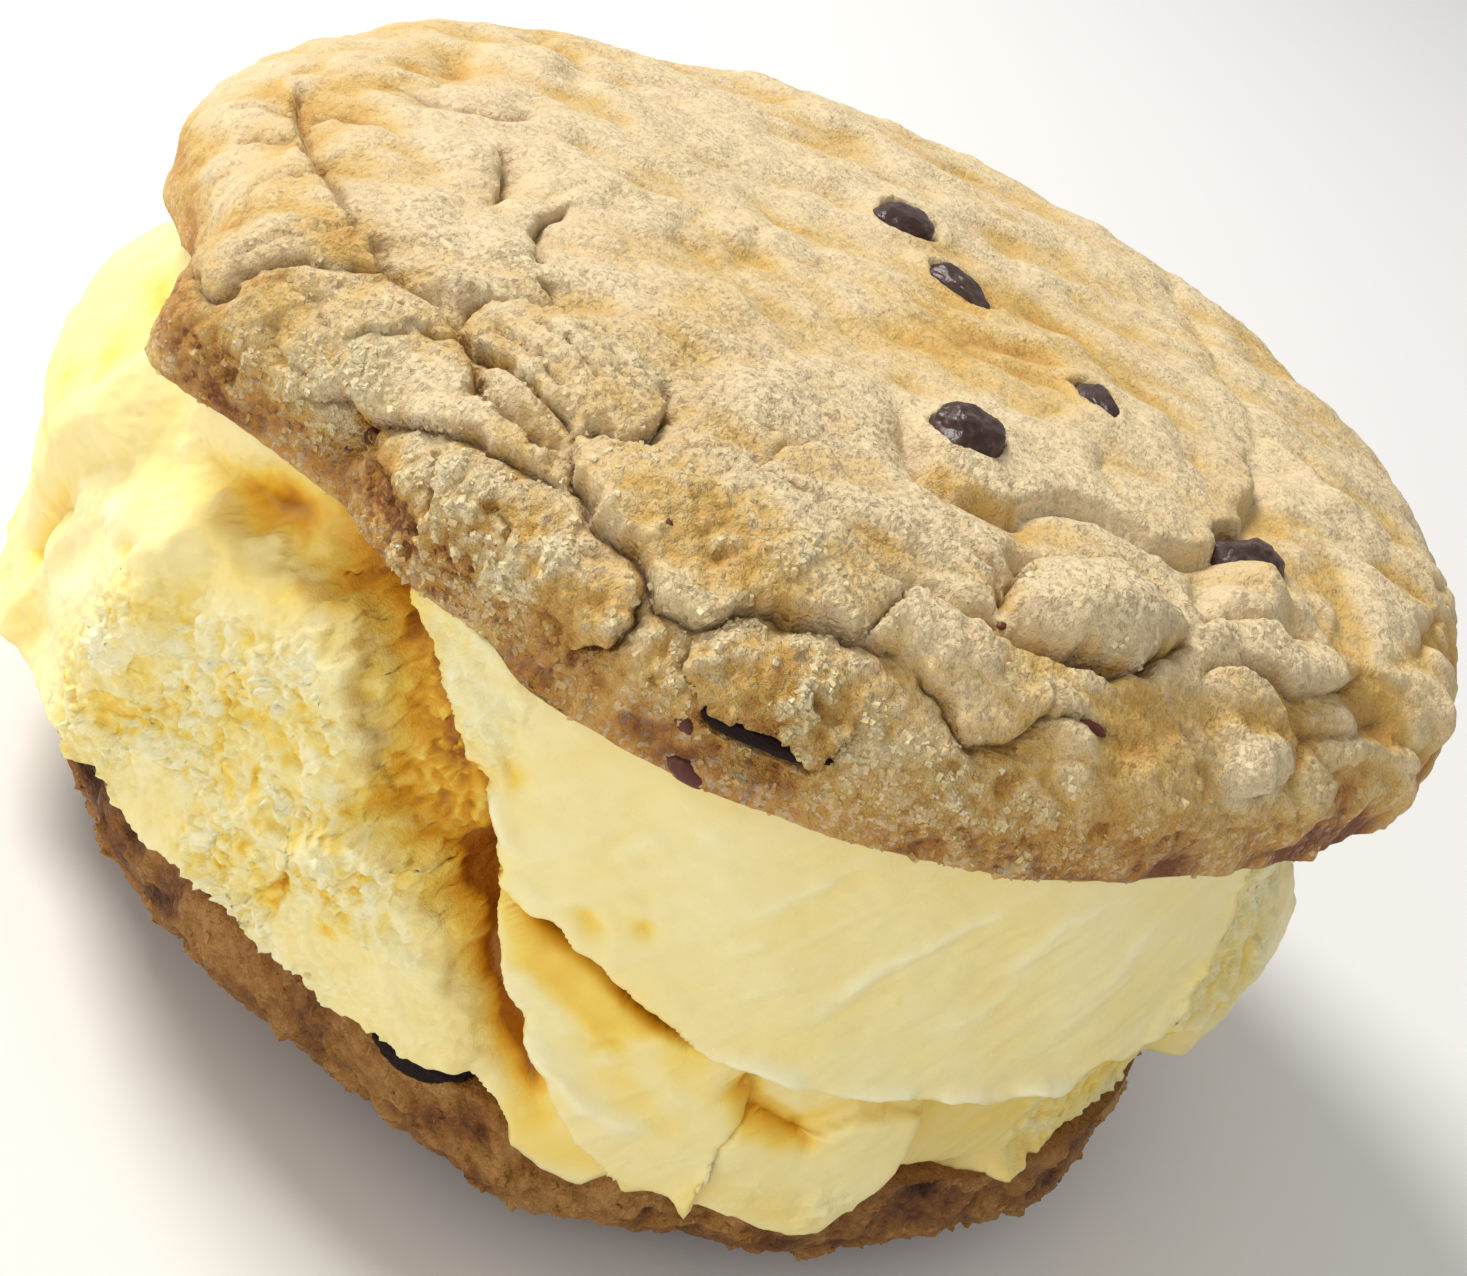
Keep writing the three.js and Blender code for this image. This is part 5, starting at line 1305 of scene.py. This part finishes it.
def buildChips():
    plain = pebbleTree("chip", chocolateMaterial("chocolate", chocolateLook), pebbles["chipDetail"])
    # chips lying in shade get the darker copy of the chocolate: painted shade
    dark = pebbleTree("shadedChip", chocolateMaterial("shadedChocolate", shadedChipLook), pebbles["chipDetail"])
    placed = [(size, topChipPlace(at, turn, sink), baked) for at, size, turn, sink, _, baked in topChips]
    placed += [(size, edgeChipPlace(*at, sink), baked) for at, size, sink, baked in edgeChips]
    for number, (size, place, baked) in enumerate(placed, 1):
        seed = pebbles["chipSeed"] * number
        mesh = pebble(f"chip{number}", dark if baked else plain, size, place, seed)
        addPiece(f"chip{number}", mesh, None, "chocolate", f"chip_{number}")


def buildFlakes():
    material = chocolateMaterial("burntSugar", flakeLook)
    tree = pebbleTree("flake", material, pebbles["flakeDetail"])
    joined = bmesh.new()
    for number, (at, size, turn) in enumerate(topFlakes):
        place = topChipPlace(at, turn, pebbles["flakeSink"])
        mesh = pebble("flake", tree, size, place, pebbles["flakeSeed"] * number)
        joined.from_mesh(mesh)
        bpy.data.meshes.remove(mesh)
    together = bpy.data.meshes.new("flakes")
    joined.to_mesh(together)
    joined.free()
    addPiece("flakes", together, material, "chocolate")


# Loose crumbs and sugar, scattered where a surface's "loose" attribute says so.

sugarLook = {
    **doughLook, "pale": (0.84, 0.70, 0.42), "golden": (0.72, 0.50, 0.20), "brown": (0.54, 0.29, 0.075),
    "grainVariety": 0.9, "grainDepth": 0.1, "roughness": 0.5,
}
# the most grains on a square mm, size in mm, how much sizes vary, how deep a grain sits in, and seed
sugar = {"most": 22, "size": 0.26, "spread": 0.5, "sunk": 0.3, "seed": 9}
lowCrumbs = {"most": 1.4, "size": 0.4, "spread": 0.5, "sunk": 0.3, "seed": 5}
wholeTurn = (6.28, 6.28, 6.28)
leastShape, mostShape = (0.7, 0.6, 0.5), (1.3, 1.1, 0.9)
dentsPerMm, dentSize = 1.6, 1.1                  # the size as a share of the grain's


def scatterTree(name, material):
    tree, graph, given = newTree(name, carrier="Geometry", most="Float", size="Float", spread="Float",
                                 sunk="Float", seed="Int")
    share = graph.add("GeometryNodeInputNamedAttribute", {"data_type": "FLOAT"}, {"Name": "loose"})
    points = graph.add("GeometryNodeDistributePointsOnFaces", {"distribute_method": "RANDOM"}, {
        "Mesh": given["carrier"], "Density": given["most"] * share / mm**2, "Seed": given["seed"]})
    outward = Wire(graph, points.socket.node.outputs["Normal"])
    down = graph.scaled(outward, given["sunk"] * given["size"] * -mm)
    placed = graph.moved(points, down)
    block = graph.add("GeometryNodeMeshCube", sockets={"Size": (mm, mm, mm)})
    turn = graph.random("FLOAT_VECTOR", (0.0, 0.0, 0.0), wholeTurn, given["seed"])
    shape = graph.random("FLOAT_VECTOR", leastShape, mostShape, given["seed"] + 1)
    own = graph.random("FLOAT", 0.0, 1.0, given["seed"] + 2)
    size = given["size"] * (1 + (own * own * 2 - 0.7) * given["spread"])
    laid = graph.add("GeometryNodeInstanceOnPoints", sockets={
        "Points": placed, "Instance": block, "Rotation": turn, "Scale": graph.scaled(shape, size)})
    loose = graph.add("GeometryNodeRealizeInstances", sockets={0: laid})
    place = graph.add("GeometryNodeInputPosition")
    dents = graph.add("ShaderNodeTexNoise", output=1, sockets={
        "Vector": place, "Scale": dentsPerMm / mm, "Detail": 1.0})
    dents = graph.vector("SUBTRACT", dents, (0.5, 0.5, 0.5))
    push = graph.scaled(dents, given["size"] * (dentSize * mm))
    endTree(graph, graph.moved(loose, push), material)
    return tree


def scatter(name, grains, carrier, material, slot):
    mesh = grow(name, scatterTree(name, material), grains, carrier.data)
    addPiece(name, mesh, None, slot)


# The floor, the lights and the camera.

stage = {"radius": 4000, "sides": 96, "floor": (0.86, 0.86, 0.86, 1), "sky": (1.0, 0.99, 0.97, 1),
         "skyPower": 0.44}
# place in metres, size, power and colour
lamps = {
    "key": ((-0.50, 0.18, 0.60), 0.30, 5.7, (1.0, 0.97, 0.92)),
    "fill": ((-0.25, -0.75, 0.35), 0.8, 2.0, (1.0, 0.98, 0.95)),
}
aimedAt = (0, 0, 0.03)
# the camera, in degrees and mm
view = {"elevation": 30, "roll": 26, "distance": 170, "target": (1.84, 0, 23.8), "lens": 57.57,
        "sensor": 36, "nearest": 0.01, "farthest": 20}


def buildStage():
    turn = np.linspace(0, 2 * math.pi, stage["sides"], endpoint=False)
    disc = RingMesh()
    disc.addRing(np.zeros((1, 3)))
    disc.addRing(stage["radius"] * vectors(np.cos(turn), np.sin(turn), 0 * turn))
    material, graph = newMaterial("paleFloor")
    finishMaterial(graph, {"Base Color": stage["floor"], "Roughness": 0.9})
    floor = bpy.data.objects.new("floor", plainMesh("floor", *disc.arrays()))
    floor.data.materials.append(material)
    scene.collection.objects.link(floor)


def buildLights():
    world = bpy.data.worlds.new("softSky")
    scene.world = world
    world.use_nodes = True
    background = world.node_tree.nodes["Background"]
    background.inputs["Color"].default_value = stage["sky"]
    background.inputs["Strength"].default_value = stage["skyPower"]
    for name, (place, size, power, tint) in lamps.items():
        lamp = bpy.data.lights.new(name, "AREA")
        lamp.shape, lamp.size, lamp.energy, lamp.color = "DISK", size, power, tint
        holder = bpy.data.objects.new(name, lamp)
        holder.location = place
        holder.rotation_mode = "QUATERNION"
        holder.rotation_quaternion = (Vector(aimedAt) - Vector(place)).to_track_quat("-Z", "Y")
        scene.collection.objects.link(holder)


def buildCamera():
    rise, roll = math.radians(view["elevation"]), math.radians(view["roll"])
    back = Vector((0, -math.cos(rise), math.sin(rise)))
    level, upright = Vector((1, 0, 0)), Vector((0, math.sin(rise), math.cos(rise)))
    right = math.cos(roll) * level + math.sin(roll) * upright
    up = math.cos(roll) * upright - math.sin(roll) * level
    camera = bpy.data.objects.new("camera", bpy.data.cameras.new("camera"))
    camera.data.sensor_width, camera.data.lens = view["sensor"], view["lens"]
    camera.data.clip_start, camera.data.clip_end = view["nearest"], view["farthest"]
    turned = Matrix((right, up, back)).transposed().to_4x4()
    spot = (Vector(view["target"]) + back * view["distance"]) * mm
    camera.matrix_world = Matrix.Translation(spot) @ turned
    scene.collection.objects.link(camera)
    scene.camera = camera


buildCamera()
buildLights()
buildStage()
print("camera, lights and floor are in place")
topDough = doughMaterial("topDough", doughLook)
bottomDough = doughMaterial("bottomDough", bottomLook)
top = buildCookie("topCookie", topCookie, topRelief, topDough, "cookie_top", "top_cookie")
bottom = buildCookie("bottomCookie", bottomCookie, bottomRelief, bottomDough, "cookie_bottom",
                     "bottom_cookie")
buildIceCream(iceMaterial(iceLook))
buildChips()
buildFlakes()
scatter("topSugar", sugar, top, doughMaterial("sugarGrains", sugarLook), "cookie_top")
scatter("bottomCrumbs", lowCrumbs, bottom, bottomDough, "cookie_bottom")
